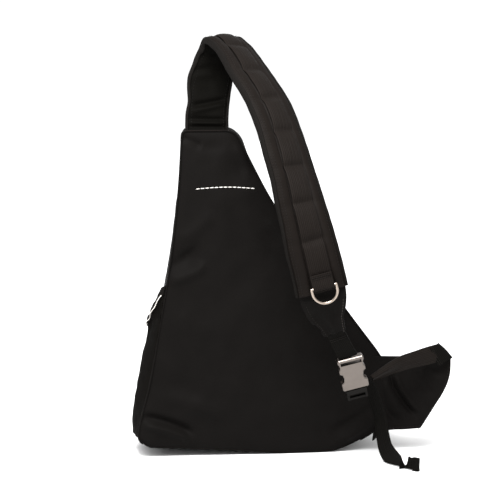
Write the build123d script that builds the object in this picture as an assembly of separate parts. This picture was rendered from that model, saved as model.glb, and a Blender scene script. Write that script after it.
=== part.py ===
from build123d import *
import math
import os

# Sling bag, standing on its base.  Millimetres.  +Z is up, +X is the wearer's right hand side of the back
# panel as it faces the reader, and the back panel lies in the plane y = 0 and faces -Y.  The origin is on the
# underside of the base.

os.makedirs("parts", exist_ok=True)

# ---- driving dimensions ----------------------------------------------------------------------------------
BAG_HEIGHT = 391.0
BASE_DEPTH = 113.0
TOP_DEPTH = 55.0
FABRIC = 1.5
TAPE = 0.6
PANEL_SKIN = 1.5
PANEL_FOAM = 6.5
PANEL_LINING = 1.0
PANEL_DEPTH = PANEL_SKIN + PANEL_FOAM + PANEL_LINING
LEFT_TAPER = 8.0
RIGHT_TAPER = 4.0
FAR = 400.0

# Back panel outline, x and z, clockwise from the top left corner.  Its foot is cut flat at z = 0.
OUTLINE = [
    (-95, 391), (-30, 391), (15, 304), (98, 181), (150, 112), (165, 75), (150, 22),
    (100, -1), (-100, -1), (-134, 3), (-146, 20), (-110, 235), (-101, 320),
]

# Main zip: an arch whose two sides are straight.
ARCH_TOP = 365.0
ARCH_FOOT = 100.0
ARCH_TOP_LEFT = -76.0
ARCH_TOP_RIGHT = -46.0
ARCH_FOOT_LEFT = -101.9
ARCH_FOOT_RIGHT = 114.2
ARCH_RADIUS = 13.0
ZIP_END = 138.0
FLAP_HINGE = 168.0
FLAP_ZIP_START = 16.0
SEAM_GAP = 0.3
ZIP_SLOT = 6.0
TAPE_EDGE = 12.0
COIL_INNER = 0.6
COIL_OUTER = 2.8
COIL_HEIGHT = 1.3
SLIDER_TOP = 344.0

# Front pocket.
POCKET_LEFT = -78.0
POCKET_RIGHT = 70.0
POCKET_FOOT = 32.0
POCKET_TOP = 139.0
POCKET_DEPTH = 24.0
POCKET_ZIP = 147.0

# Strap.
PAD_THICK = 9.0
COVER = 0.8
BINDING = 1.6
WEBBING_THICK = 1.4
WEBBING_LEFT = -10.5
WEBBING_RIGHT = 14.5
BARTACK_PITCH = 43.5

# Each strap station: x, y, z of the middle of the pad, the pad's width, and how far it is turned about the
# vertical, in degrees.
STRAP_STATIONS = [
    (-64, 15, 395, 50, 0),
    (-63, 20, 412, 50, 3),
    (-60, 27, 438, 51, 10),
    (-55, 33, 464, 52, 22),
    (-51, 34, 484, 52, 32),
    (-46, 24, 498, 52, 38),
    (-38, 8, 492, 53, 38),
    (-30, -8, 479, 53, 36),
    (-16, -36, 452, 54, 32),
    (-1, -57, 423, 55, 29),
    (11, -76, 387, 56, 26),
    (23, -95, 340, 57, 20),
    (33, -107, 296, 58, 10),
    (44, -111, 251, 59, 0),
    (54, -106, 214, 59, -4),
]
END_FLAP_STATIONS = [
    (55, -105, 209.5, 57, -4),
    (57, -102, 198, 54, -6),
    (64, -96, 180, 36, -8),
    (71, -90, 166, 25, -10),
]
LOWER_WEBBING_STATIONS = [
    (71, -90, 165.6, 22, -10),
    (79, -83, 151, 22, -6),
    (89, -74.5, 134, 22, -3),
]

# Buckle: the middle of its top bar and the way the plug pulls out.
BUCKLE_TOP = Vector(92, -73, 131)
BUCKLE_AXIS = Vector(0.24, 0.22, -0.945).normalized()
BUCKLE_WIDTH = 31.0
BUCKLE_THICK = 11.0
BUCKLE_LENGTH = 40.0
# Right edge of the socket: distance from its middle line and distance down from its top.
SOCKET_EDGE = [
    (14.3, 0), (15.5, 1.4), (15.5, 4.2), (13.9, 7.6), (13.9, 10.4), (15.5, 13.6), (15.5, 17.6), (12.4, 19.6),
    (11.4, 24), (12.4, 28.4), (15.5, 30.4), (15.5, 38.2), (13.8, 40),
]

# Webbing tail: route of its middle, from behind the plug to its end.
TAIL_ROUTE = [
    (122, -44, 94), (131, -40, 74), (138, -40, 52), (139, -47, 32), (138, -62, 16), (143, -80, 7),
    (154, -96, 4),
]
TAIL_WIDTH = 24.0
TAIL_THICK = 1.8


# ---- helpers ---------------------------------------------------------------------------------------------
def save(shape, name):
    """Write one named piece as its own file."""
    shape.label = name
    export_step(shape, f"parts/{name}.step")


def one(shape):
    """Keep a boolean result as a plain compound or solid."""
    solids = shape.solids()
    return solids[0] if len(solids) == 1 else Compound(children=list(solids))


def block(x, y, z):
    """A box between two limits on each axis."""
    size = (x[1] - x[0], y[1] - y[0], z[1] - z[0])
    middle = ((x[0] + x[1]) / 2, (y[0] + y[1]) / 2, (z[0] + z[1]) / 2)
    return Pos(*middle) * Box(*size)


def inset(points, distance):
    """Move every side of a clockwise outline inwards by a distance."""
    result = []
    for i, point in enumerate(points):
        before = points[i - 1]
        after = points[(i + 1) % len(points)]
        a = Vector(point[0] - before[0], point[1] - before[1]).normalized()
        b = Vector(after[0] - point[0], after[1] - point[1]).normalized()
        na = Vector(a.Y, -a.X)
        nb = Vector(b.Y, -b.X)
        bisector = (na + nb) * (1 / (1 + na.dot(nb)))
        result.append((point[0] + bisector.X * distance, point[1] + bisector.Y * distance))
    return result


def tapered_body(distance):
    """The bag's solid envelope, inset by a distance, before the front is cut to its slope."""
    back = inset(OUTLINE, distance)
    middle = -62.0
    front = [(x + (LEFT_TAPER if x < middle else -RIGHT_TAPER), z) for x, z in back]
    back_wire = Wire.make_polygon([Vector(x, 0, z) for x, z in back])
    front_wire = Wire.make_polygon([Vector(x, BASE_DEPTH + 5, z) for x, z in front])
    return Solid.make_loft([back_wire, front_wire], ruled=True) & above(distance)


SLOPE = (BASE_DEPTH - TOP_DEPTH) / BAG_HEIGHT
FRONT_NORMAL = Vector(0, 1, SLOPE).normalized()


def front_y(z, depth=0.0):
    """Where the front face lies at a height, or a plane a depth inside it."""
    return BASE_DEPTH - SLOPE * z - depth / FRONT_NORMAL.Y


def slab(outer, inner):
    """The space between two depths inside the front face, all the way across."""
    low = -20.0
    high = BAG_HEIGHT + 20.0
    corners = [
        (front_y(low, inner), low), (front_y(low, outer), low),
        (front_y(high, outer), high), (front_y(high, inner), high),
    ]
    face = Plane.YZ * make_face(Polyline(*corners, close=True))
    return extrude(face, amount=FAR, both=True)


def arch(distance):
    """The zip arch, grown outwards by a distance, as a prism through the bag."""
    corners = [
        (ARCH_FOOT_LEFT, ARCH_FOOT), (ARCH_TOP_LEFT, ARCH_TOP),
        (ARCH_TOP_RIGHT, ARCH_TOP), (ARCH_FOOT_RIGHT, ARCH_FOOT),
    ]
    face = make_face(Polyline(*inset(corners, -distance), close=True))
    tops = face.vertices().sort_by(Axis.Y)[-2:]
    face = fillet(tops, ARCH_RADIUS + distance)
    return extrude(Plane.XZ * face, amount=FAR, both=True)


def above(z):
    return block((-FAR, FAR), (-FAR, FAR), (z, FAR + BAG_HEIGHT))


def below(z):
    return block((-FAR, FAR), (-FAR, FAR), (-FAR, z))


def frames(stations):
    """Points and directions along a ribbon, with one extra point between each pair of stations."""
    rows = []
    for i in range(len(stations) - 1):
        last = len(stations) - 1
        around = [stations[max(i - 1, 0)], stations[i], stations[i + 1], stations[min(i + 2, last)]]
        rows.append(stations[i])
        rows.append(tuple((-a + 9 * b + 9 * c - d) / 16 for a, b, c, d in zip(*around)))
    rows.append(stations[-1])
    result = []
    for i, row in enumerate(rows):
        before = Vector(*rows[max(i - 1, 0)][:3])
        after = Vector(*rows[min(i + 1, len(rows) - 1)][:3])
        along = (after - before).normalized()
        turn = math.radians(row[4])
        across = Vector(math.cos(turn), math.sin(turn), 0)
        across = (across - along * across.dot(along)).normalized()
        result.append((Vector(*row[:3]), along, across, along.cross(across).normalized(), row[3]))
    return result


def ribbon(path, across, through):
    """A bar along a path.  across and through give its limits at each point, from the point's width."""
    wires = []
    for middle, _, side, out, width in path:
        left, right = across(width)
        inner, outer = through
        corners = [(left, inner), (right, inner), (right, outer), (left, outer)]
        wires.append(Wire.make_polygon([middle + side * u + out * v for u, v in corners]))
    return Solid.make_loft(wires, ruled=True)


# ---- bag body --------------------------------------------------------------------------------------------
envelope = tapered_body(0) & slab(0, BASE_DEPTH * 3)
cavity = tapered_body(FABRIC) & slab(FABRIC, BASE_DEPTH * 3)


def layer(y0, y1, shape):
    return one(shape & block((-FAR, FAR), (y0, y1), (-FAR, FAR + BAG_HEIGHT)))


def back_panel():
    save(layer(0, PANEL_SKIN, envelope), "back_panel_skin")
    save(layer(PANEL_SKIN, PANEL_SKIN + PANEL_FOAM, envelope), "back_panel_foam")
    save(layer(PANEL_SKIN + PANEL_FOAM, PANEL_DEPTH, envelope), "back_panel_lining")


def gussets():
    walls = envelope - cavity - slab(0, FABRIC)
    walls = walls - block((-FAR, FAR), (-FAR, PANEL_DEPTH), (-FAR, FAR + BAG_HEIGHT))
    corner = 20.0
    middle = -62.0
    sides = walls & above(corner) & below(BAG_HEIGHT - FABRIC)
    save(one(sides & block((-FAR, middle), (-FAR, FAR), (-FAR, FAR * 2))), "left_gusset")
    save(one(sides & block((middle, FAR), (-FAR, FAR), (-FAR, FAR * 2))), "right_gusset")
    save(one(walls & above(BAG_HEIGHT - FABRIC)), "top_gusset")
    save(one(walls & below(corner)), "base_panel")
    save(block((-88, 92), (12, 106), (FABRIC + 0.2, FABRIC + 4.2)), "base_board")


def edge_binding():
    """Folded tape that covers the seam round the back panel, down to the base."""
    outer = make_face(Polyline(*inset(OUTLINE, -1.8), close=True))
    inner = make_face(Polyline(*OUTLINE, close=True))
    ring = extrude(Plane.XZ * (outer - inner), amount=-3.0)
    save(one(ring & above(22)), "edge_binding")


def front_panel_and_flap():
    skin = envelope & slab(0, FABRIC)
    slot = (arch(ZIP_SLOT) - arch(-ZIP_SLOT)) & above(ZIP_END)
    mouth = arch(ZIP_SLOT) & above(FLAP_HINGE - SEAM_GAP)
    save(one(skin - slot - mouth), "front_panel")
    save(one(skin & arch(-ZIP_SLOT) & above(FLAP_HINGE + SEAM_GAP)), "front_flap_panel")


def main_zip():
    tape = slab(FABRIC, FABRIC + TAPE)
    coil = slab(FABRIC - COIL_HEIGHT, FABRIC)
    for kind, space, inner, outer, foot in (
        ("tape", tape, COIL_INNER, TAPE_EDGE, ZIP_END - 6),
        ("coil", coil, COIL_INNER, COIL_OUTER, ZIP_END + 6),
    ):
        outside = space & (arch(outer) - arch(inner)) & above(foot)
        inside = space & (arch(-inner) - arch(-outer))
        body_side = outside + (inside & above(foot) & below(FLAP_HINGE - SEAM_GAP))
        save(one(body_side), f"main_zip_{kind}_body")
        save(one(inside & above(FLAP_HINGE + FLAP_ZIP_START)), f"main_zip_{kind}_flap")


def slider():
    """A zip slider that saddles the two coils: travel is along local X, the front of the zip is local Z."""
    top = block((-5.5, 5.5), (-4.2, 4.2), (1.6, 2.8))
    top = fillet(top.edges().filter_by(Axis.Z), 1.6)
    lips = [block((-4, 4), side, (0.3, 1.6)) for side in ((-4.2, -3.4), (3.4, 4.2))]
    crown = block((-3, 3), (-0.6, 0.6), (2.8, 5.6)) - block((-2, 2), (-1, 1), (2.8, 4.6))
    return one(top + lips[0] + lips[1] + crown)


def pull():
    """A slider's pull tab: an eye bar under the crown, two arms and a flat tab that lies along local X."""
    bar = Pos(0, 0, 3.8) * Rot(90, 0, 0) * Cylinder(0.55, 5.2)
    arms = [block((0, 5.2), side, (3.3, 4.3)) for side in ((-2.6, -1.4), (1.4, 2.6))]
    tab = block((4.4, 26), (-3, 3), (3.3, 4.3))
    tab = fillet(tab.edges().filter_by(Axis.Z), 1.4) - Pos(22, 0, 3.8) * Cylinder(1.1, 4)
    return one(bar + arms[0] + arms[1] + tab)


def arch_side(foot_x, top_x):
    """Direction up one straight side of the zip, and the place of its slider when the zip is closed."""
    rise = ARCH_TOP - ARCH_FOOT
    along = Vector(top_x - foot_x, -SLOPE * rise, rise).normalized()
    x = foot_x + (top_x - foot_x) * (SLIDER_TOP - ARCH_FOOT) / rise
    return along, Vector(x, front_y(SLIDER_TOP, FABRIC), SLIDER_TOP)


def main_zip_sliders():
    for side, foot_x, top_x in (
        ("left", ARCH_FOOT_LEFT, ARCH_TOP_LEFT), ("right", ARCH_FOOT_RIGHT, ARCH_TOP_RIGHT),
    ):
        along, place = arch_side(foot_x, top_x)
        seat = Plane(origin=place, x_dir=-along, z_dir=FRONT_NORMAL)
        save(seat.location * slider(), f"{side}_slider")
        save(seat.location * pull(), f"{side}_pull_tab")
        pivot = place + FRONT_NORMAL * 3.8
        hinge = FRONT_NORMAL.cross(along)
        print(side, "slider", place, "along", along, "pull pivot", pivot, "axis", hinge)


def zip_stops():
    """Metal stops across the two lower ends of the main zip."""
    stops = []
    for foot_x, top_x in ((ARCH_FOOT_LEFT, ARCH_TOP_LEFT), (ARCH_FOOT_RIGHT, ARCH_TOP_RIGHT)):
        along, place = arch_side(foot_x, top_x)
        steps = (SLIDER_TOP - ZIP_END - 3.2) / along.Z
        seat = Plane(origin=place - along * steps, x_dir=along, z_dir=FRONT_NORMAL)
        stops.append(seat.location * block((-0.8, 0.8), (-2.8, 2.8), (0.05, 1.5)))
    save(Compound(children=stops), "main_zip_stops")


def on_front(x, z, depth=0.0):
    """A point on the front face, at a height z."""
    return Vector(x, front_y(z), z) - FRONT_NORMAL * depth


def front_pocket():
    """A shallow pocket that tips open about its foot.  Its zip runs across its top."""
    seat = Plane(origin=on_front(0, POCKET_FOOT, -SEAM_GAP), x_dir=(-1, 0, 0), z_dir=FRONT_NORMAL)
    height = (POCKET_TOP - POCKET_FOOT) / FRONT_NORMAL.Y
    middle = -(POCKET_LEFT + POCKET_RIGHT) / 2
    width = POCKET_RIGHT - POCKET_LEFT
    shell = Pos(middle, height / 2, POCKET_DEPTH / 2) * Box(width, height, POCKET_DEPTH)
    shell = fillet(shell.edges().filter_by(Axis.Z), 14)
    shell = fillet(shell.faces().sort_by(Axis.Z)[-1].edges(), 10)
    hollow = Pos(middle, height / 2, POCKET_DEPTH / 2 - FABRIC) * Box(
        width - 2 * FABRIC, height - 2 * FABRIC, POCKET_DEPTH)
    hollow = fillet(hollow.edges().filter_by(Axis.Z), 12.5)
    hollow = fillet(hollow.faces().sort_by(Axis.Z)[-1].edges(), 8.5)
    save(seat.location * one(shell - hollow), "front_pocket_shell")
    lift = (POCKET_ZIP - POCKET_FOOT) / FRONT_NORMAL.Y
    run = (middle - width / 2 + 4, middle + width / 2 - 4)
    coil = (TAPE, TAPE + COIL_HEIGHT)
    rows = {
        "front_pocket_zip_tape_lower": block(run, (height + 0.1, lift - COIL_INNER), (0, TAPE)),
        "front_pocket_zip_coil_lower": block(run, (lift - COIL_OUTER, lift - COIL_INNER), coil),
        "front_pocket_zip_tape_upper": block(run, (lift + COIL_INNER, lift + 8), (0, TAPE)),
        "front_pocket_zip_coil_upper": block(run, (lift + COIL_INNER, lift + COIL_OUTER), coil),
    }
    for name, bar in rows.items():
        save(seat.location * bar, name)
    place = on_front(POCKET_RIGHT - 14, POCKET_ZIP, -SEAM_GAP - TAPE)
    zip_seat = Plane(origin=place, x_dir=(-1, 0, 0), z_dir=FRONT_NORMAL)
    save(zip_seat.location * slider(), "pocket_slider")
    save(zip_seat.location * pull(), "pocket_pull_tab")
    print("pocket slider", place, "pull pivot", place + FRONT_NORMAL * 3.8)
    print("pocket hinge", on_front(0, POCKET_FOOT, 0))


# ---- side pocket -----------------------------------------------------------------------------------------
def side_wall_x(y, z):
    """The left gusset's outer face at a depth and height, on its long lower stretch."""
    foot = OUTLINE[10]
    shoulder = OUTLINE[11]
    share = (z - foot[1]) / (shoulder[1] - foot[1])
    return foot[0] + (shoulder[0] - foot[0]) * share + LEFT_TAPER * y / (BASE_DEPTH + 5)


def bulge(z, grow, thick):
    """Plan section of the side pocket's wall at a height."""
    near, far = 6.0, 84.0
    middle = (near + far) / 2
    gap = 0.4

    def bow(offset):
        return ThreePointArc(
            (side_wall_x(near, z) - gap - offset * 0.2, near + thick - offset),
            (side_wall_x(middle, z) - grow - offset, middle),
            (side_wall_x(far, z) - gap - offset * 0.2, far - thick + offset))

    outer = bow(thick)
    inner = bow(0)
    face = make_face([outer, inner, Line(outer @ 0, inner @ 0), Line(outer @ 1, inner @ 1)])
    return Pos(0, 0, z) * face


def mesh_pocket():
    foot, top = 22.0, 212.0
    wall = loft([bulge(foot, 14, 1.2), bulge(top, 12, 1.2)], ruled=True)
    near_height, far_height = 206.0, 156.0
    binding = 9.0

    def cut(drop):
        """Everything above the sloping mouth, lowered by a drop."""
        run = (-60.0, 160.0)
        slope = (far_height - near_height) / 78.0
        line = [(y, near_height + slope * (y - 6) - drop) for y in run]
        corners = line + [(run[1], 500.0), (run[0], 500.0)]
        return extrude(Plane.YZ * make_face(Polyline(*corners, close=True)), amount=FAR, both=True)

    save(one(wall - cut(binding)), "mesh_pocket_panel")
    rim = loft([bulge(foot, 14.2, 1.9), bulge(top, 12.2, 1.9)], ruled=True)
    save(one((rim & cut(binding - 0.1)) - cut(0)), "mesh_pocket_binding")


# ---- small trim on the body ------------------------------------------------------------------------------
def contrast_stitches():
    """A short row of pale stitches across the top of the back panel."""
    stitches = []
    count = 13
    for i in range(count):
        share = i / (count - 1)
        x = -76.5 + 65.0 * share
        z = 323.0 + 2.0 * math.sin(math.pi * share)
        stitches.append(block((x - 1.6, x + 1.6), (-0.6, -0.05), (z - 0.4, z + 0.4)))
    save(Compound(children=stitches), "contrast_stitches")


def wing():
    """The doubled fabric wing at the lower right, and the webbing band folded into its corner."""
    corners = [
        (141, 118), (222, 113), (228, 108), (226, 83), (208, 52), (196, 31), (188, 27), (156, 25), (139, 19),
    ]
    face = Plane.XZ * make_face(Polyline(*corners, close=True))
    save(Pos(0, -1.0, 0) * extrude(face, amount=4.0), "wing_panel")
    band_path = [
        (Vector(222, -12, 125), 25), (Vector(202, -20, 121), 25), (Vector(180, -29, 117), 23),
        (Vector(160, -38, 113), 20), (Vector(140, -46, 107), 14), (Vector(126, -50, 102), 10),
    ]
    wires = []
    for i, (middle, width) in enumerate(band_path):
        before = band_path[max(i - 1, 0)][0]
        after = band_path[min(i + 1, len(band_path) - 1)][0]
        along = (after - before).normalized()
        across = (Vector(-0.35, 0.1, 1) - along * Vector(-0.35, 0.1, 1).dot(along)).normalized()
        out = along.cross(across)
        half = width / 2
        thick = 1.4
        corners = [(-half, -thick), (half, -thick), (half, thick), (-half, thick)]
        wires.append(Wire.make_polygon([middle + across * u + out * v for u, v in corners]))
    save(Solid.make_loft(wires, ruled=True), "wing_webbing_band")
    patch = [(206, 109), (226, 107), (229, 117), (214, 134), (208, 131)]
    face = Plane.XZ * make_face(Polyline(*patch, close=True))
    save(Pos(0, -5.2, 0) * extrude(face, amount=3.0), "wing_band_anchor")


def strap_patch():
    save(block((-90, -38), (3, 9.5), (BAG_HEIGHT + 0.05, BAG_HEIGHT + 0.9)), "strap_anchor_patch")


# ---- strap -----------------------------------------------------------------------------------------------
def full_width(width):
    return -width / 2, width / 2


def left_edge(width):
    return -width / 2 - BINDING, -width / 2


def right_edge(width):
    return width / 2, width / 2 + BINDING


def webbing_width(width):
    return WEBBING_LEFT, WEBBING_RIGHT


def strap():
    path = frames(STRAP_STATIONS)
    half = PAD_THICK / 2
    save(ribbon(path, full_width, (-half, -half + COVER)), "strap_inner_cover")
    save(ribbon(path, full_width, (-half + COVER, half - COVER)), "strap_foam")
    save(ribbon(path, full_width, (half - COVER, half)), "strap_outer_cover")
    save(ribbon(path, left_edge, (-half, half)), "strap_left_binding")
    save(ribbon(path, right_edge, (-half, half)), "strap_right_binding")
    save(ribbon(path[1:], webbing_width, (half, half + WEBBING_THICK)), "strap_centre_webbing")
    bartacks(path, half + WEBBING_THICK)
    save(ribbon(frames(END_FLAP_STATIONS), full_width, (-1.5, 1.5)), "strap_end_flap")
    save(ribbon(frames(LOWER_WEBBING_STATIONS), full_width, (-0.8, 0.8)), "strap_lower_webbing")
    d_ring_and_loop(path)


def bartacks(path, lift):
    """Rows of dense stitching across the centre webbing, one pitch apart, from the pad's lower end."""
    tacks = []
    travelled = 0.0
    due = 63.5
    for i in range(len(path) - 1, 8, -1):
        step = (path[i - 1][0] - path[i][0]).length
        while due < travelled + step:
            share = (due - travelled) / step
            middle = path[i][0] + (path[i - 1][0] - path[i][0]) * share
            _, along, across, out, _ = path[i] if share < 0.5 else path[i - 1]
            seat = Plane(origin=middle + out * (lift + 0.4), x_dir=across, z_dir=out)
            tacks.append(seat.location * block((WEBBING_LEFT + 1, WEBBING_RIGHT - 1), (-1.2, 1.2), (0, 0.6)))
            due += BARTACK_PITCH
        travelled += step
    save(Compound(children=tacks), "strap_bartacks")


RING_WIRE = 3.2
RING_WIDTH = 32.0
RING_DROP = 21.0


def d_ring_and_loop(path):
    middle, along, across, out, _ = path[-2]
    lift = PAD_THICK / 2 + WEBBING_THICK
    seat = Plane(origin=middle + out * lift + along * 9 + across * 2, x_dir=across, z_dir=out)
    outer_r = RING_WIDTH / 2
    bar_lift = 0.4 + 1.0 + RING_WIRE / 2 + 0.2
    straight = RING_DROP - outer_r

    def dee(half_width, drop):
        side = drop - half_width
        bend = ThreePointArc((half_width, -side), (0, -side - half_width), (-half_width, -side))
        left = Line((-half_width, -side), (-half_width, 0))
        top = Line((-half_width, 0), (half_width, 0))
        right = Line((half_width, 0), (half_width, -side))
        return Wire([bend, left, top, right])

    centre_half = outer_r - RING_WIRE / 2
    run = dee(centre_half, centre_half + straight)
    start = Plane(origin=(0, 0, 0), x_dir=(0, 1, 0), z_dir=(1, 0, 0))
    ring = sweep(start * Circle(RING_WIRE / 2), path=run, transition=Transition.ROUND)
    save(seat.location * Pos(0, 0, bar_lift) * one(ring), "d_ring")
    pivot = seat.location * Pos(0, 0, bar_lift)
    print("ring pivot", pivot.position, "axis", across, "out", out, "along", along)
    half_loop = 12.5
    wrap = RING_WIRE / 2 + 0.25
    cloth = 1.0
    tube = Rot(0, 90, 0) * (Cylinder(wrap + cloth, 2 * half_loop) - Cylinder(wrap, 2 * half_loop + 1))
    lower = Pos(0, 0, bar_lift) * tube
    ply = block((-half_loop, half_loop), (0.6, 15), (bar_lift - wrap - cloth, bar_lift - wrap))
    top = block((-half_loop, half_loop), (wrap + 0.2, 15), (bar_lift - wrap, bar_lift - wrap + cloth))
    window = block((-30, 30), (0.0, 3.2), (bar_lift - wrap, bar_lift + 0.6))
    loop = lower + ply + top - window
    cheek = block((-half_loop, half_loop), (wrap, wrap + cloth), (bar_lift - wrap, bar_lift + 0.9))
    save(seat.location * one(loop + cheek), "d_ring_loop")


# ---- buckle ----------------------------------------------------------------------------------------------
across_buckle = (Vector(1, 0, 0) - BUCKLE_AXIS * BUCKLE_AXIS.X).normalized()
BUCKLE = Plane(origin=BUCKLE_TOP, x_dir=across_buckle, z_dir=BUCKLE_AXIS.cross(across_buckle))


def down(start, end):
    """Distances along the buckle, from its top bar, as limits on the buckle plane's own y axis."""
    return (-end, -start)


def buckle_socket():
    """The female half: eared at its webbing slot, waisted, and cut away at both sides where the prongs show."""
    half_w = BUCKLE_WIDTH / 2
    half_t = BUCKLE_THICK / 2
    right = SOCKET_EDGE
    left = [(-u, s) for u, s in reversed(SOCKET_EDGE)]
    face = make_face(Polyline(*[(u, -s) for u, s in right + left], close=True))
    body = Pos(0, 0, -half_t) * extrude(face, amount=BUCKLE_THICK, dir=(0, 0, 1))
    for side in (-1, 0):
        body = chamfer(body.faces().sort_by(Axis.Z)[side].edges(), 0.9)
    slot = block((-12.5, 12.5), down(3.5, 7.5), (-half_t - 1, half_t + 1))
    hollow = block((-12.6, 12.6), down(13, BUCKLE_LENGTH + 1), (-3.6, 3.6))
    windows = block((-half_w - 1, half_w + 1), down(17, 31), (-3.6, 3.6))
    save(BUCKLE.location * one(body - slot - hollow - windows), "buckle_socket")


def buckle_plug():
    start = BUCKLE_LENGTH + 0.8
    base = block((-12, 12), down(start, start + 5.5), (-5, 5))
    cheeks = [block(side, down(start + 5.4, start + 13), (-3.5, 3.5)) for side in ((-12, -9.5), (9.5, 12))]
    bar = block((-12, 12), down(start + 10.5, start + 13), (-2.5, 2.5))
    tongue = block((-1.6, 1.6), down(15, start + 0.2), (-2.4, 2.4))
    save(BUCKLE.location * one(base + cheeks[0] + cheeks[1] + bar + tongue), "buckle_plug")
    arm = [
        (5.2, start - 0.4), (8.4, start - 0.4), (8.4, 31), (12.3, 29.6), (12.3, 24), (9.5, 18), (6.0, 18), (5.2, 22),
    ]
    for side, sign in (("left", -1), ("right", 1)):
        face = make_face(Polyline(*[(sign * u, -s) for u, s in arm], close=True))
        prong = Pos(0, 0, -2.8) * extrude(face, amount=5.6, dir=(0, 0, 1))
        save(BUCKLE.location * prong, f"{side}_prong")
        pivot = BUCKLE.location * Pos(sign * 6.8, -(start - 0.4), 0)
        print(side, "prong pivot", pivot.position, "axis", BUCKLE.z_dir)
    print("buckle axis", BUCKLE_AXIS, "across", across_buckle, "face", BUCKLE.z_dir)


def tail():
    """The loose end of the webbing, as straight runs joined by arcs, and its folded hem."""
    points = [Vector(*p) for p in TAIL_ROUTE]
    rows = []
    for i, middle in enumerate(points):
        along = (points[min(i + 1, len(points) - 1)] - points[max(i - 1, 0)]).normalized()
        across = Vector(1, -0.15, 0.25) if i < 4 else Vector(0.85, 0.5, 0)
        across = (across - along * across.dot(along)).normalized()
        rows.append((middle, along, across, along.cross(across), TAIL_WIDTH))
    save(ribbon(rows, full_width, (-TAIL_THICK / 2, TAIL_THICK / 2)), "tail_webbing")
    middle, along, across, _, _ = rows[-1]
    seat = Plane(origin=middle, x_dir=across, z_dir=across.cross(along) * -1)
    run = (0, 7) if seat.y_dir.dot(along) > 0 else (-7, 0)
    save(seat.location * block((-12.5, 12.5), run, (-2.6, 2.6)), "tail_hem")


back_panel()
gussets()
edge_binding()
front_panel_and_flap()
main_zip()
main_zip_sliders()
zip_stops()
front_pocket()
mesh_pocket()
contrast_stitches()
wing()
strap_patch()
strap()
buckle_socket()
buckle_plug()
tail()
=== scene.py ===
import math

import bpy
import numpy as np
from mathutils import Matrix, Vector, geometry, noise


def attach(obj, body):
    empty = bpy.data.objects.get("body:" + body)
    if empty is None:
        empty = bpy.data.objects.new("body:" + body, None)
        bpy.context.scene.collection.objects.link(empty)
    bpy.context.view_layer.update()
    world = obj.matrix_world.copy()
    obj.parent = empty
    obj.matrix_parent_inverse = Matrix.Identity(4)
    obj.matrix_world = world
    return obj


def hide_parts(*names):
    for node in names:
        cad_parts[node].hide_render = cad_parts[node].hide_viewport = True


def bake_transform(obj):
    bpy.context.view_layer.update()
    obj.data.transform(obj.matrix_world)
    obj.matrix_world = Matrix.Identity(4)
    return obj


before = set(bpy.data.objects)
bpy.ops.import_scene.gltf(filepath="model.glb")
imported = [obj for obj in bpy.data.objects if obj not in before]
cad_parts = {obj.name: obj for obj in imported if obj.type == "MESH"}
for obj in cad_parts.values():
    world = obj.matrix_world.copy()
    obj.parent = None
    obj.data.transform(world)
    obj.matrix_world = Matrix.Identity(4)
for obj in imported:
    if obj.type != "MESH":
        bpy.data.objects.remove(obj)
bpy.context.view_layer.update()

# All sizes below are in millimetres, in the frame of the CAD model, and become metres in make_mesh().
MM = 0.001

# ---- driving dimensions, as in the CAD model ---------------------------------------------------------------
BAG_HEIGHT = 391.0
BASE_DEPTH = 113.0
TOP_DEPTH = 55.0
LEFT_TAPER = 8.0
RIGHT_TAPER = 4.0
SLOPE = (BASE_DEPTH - TOP_DEPTH) / BAG_HEIGHT
FRONT_NORMAL = np.array([0.0, 1.0, SLOPE]) / math.hypot(1.0, SLOPE)
OUTLINE = [
    (-95, 391, 6), (-32, 391, 12), (13, 303, 40), (97, 181, 50), (150, 112, 24), (165, 75, 24), (150, 22, 26),
    (100, 0, 34), (-100, 0, 28), (-136, 3, 5), (-147, 17, 6), (-108, 240, 60), (-99, 320, 40),
]
STRAP_STATIONS = [
    (-64, 15, 388, 48, 0), (-63, 20, 412, 48, 3), (-60, 27, 438, 50, 10), (-54, 33, 463, 51, 22),
    (-50, 34, 482, 52, 32), (-45, 24, 496, 52, 38), (-37, 8, 491, 53, 38), (-29, -8, 479, 54, 36),
    (-15, -36, 452, 56, 32), (0, -57, 423, 56, 29), (11, -76, 387, 56, 26), (22.5, -95, 340, 56, 20),
    (32.5, -107, 296, 57, 10), (43.5, -111, 251, 58, 0), (53.5, -106, 214, 58, -4),
]
PAD_HALF = 4.5
WEBBING_LEFT = -10.5
WEBBING_RIGHT = 14.5

TO_BACK = np.array([0.0, -1.0, 0.0])
TO_FRONT = np.array([0.0, 1.0, 0.0])
DOWN = np.array([0.0, 0.0, -1.0])


# ---- small helpers ---------------------------------------------------------------------------------------
def unit(v):
    v = np.asarray(v, float)
    length = np.linalg.norm(v, axis=-1, keepdims=True)
    return v / np.maximum(length, 1e-9)


def smooth(x):
    x = np.clip(x, 0.0, 1.0)
    return x * x * (3 - 2 * x)


def bump(distance, width):
    return np.exp(-(distance / width) ** 2)


def wobble(points, scale, seed):
    """Smooth noise, about -1 to 1, at each point."""
    flat = np.asarray(points, float).reshape(-1, 3) / scale + seed
    values = [noise.noise(Vector(p)) for p in flat]
    return np.array(values).reshape(np.shape(points)[:-1])


def ripple(along, across, scale, seed):
    """Noise on a flat strip."""
    return wobble(np.stack([along, across, 0 * across], axis=-1), scale, seed)


def spline(points, count):
    """Evenly spaced points on a Catmull-Rom curve; further columns ride along with x, y and z."""
    p = np.asarray(points, float)
    padded = np.vstack([2 * p[0] - p[1], p, 2 * p[-1] - p[-2]])
    fine = []
    for i in range(1, len(padded) - 2):
        a, b, c, d = padded[i - 1:i + 3]
        for t in np.linspace(0, 1, 24, endpoint=False):
            fine.append(0.5 * (2 * b + (c - a) * t + (2 * a - 5 * b + 4 * c - d) * t * t
                               + (3 * b - a - 3 * c + d) * t ** 3))
    fine = np.array(fine + [p[-1]])
    return resample(fine, count)


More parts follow.
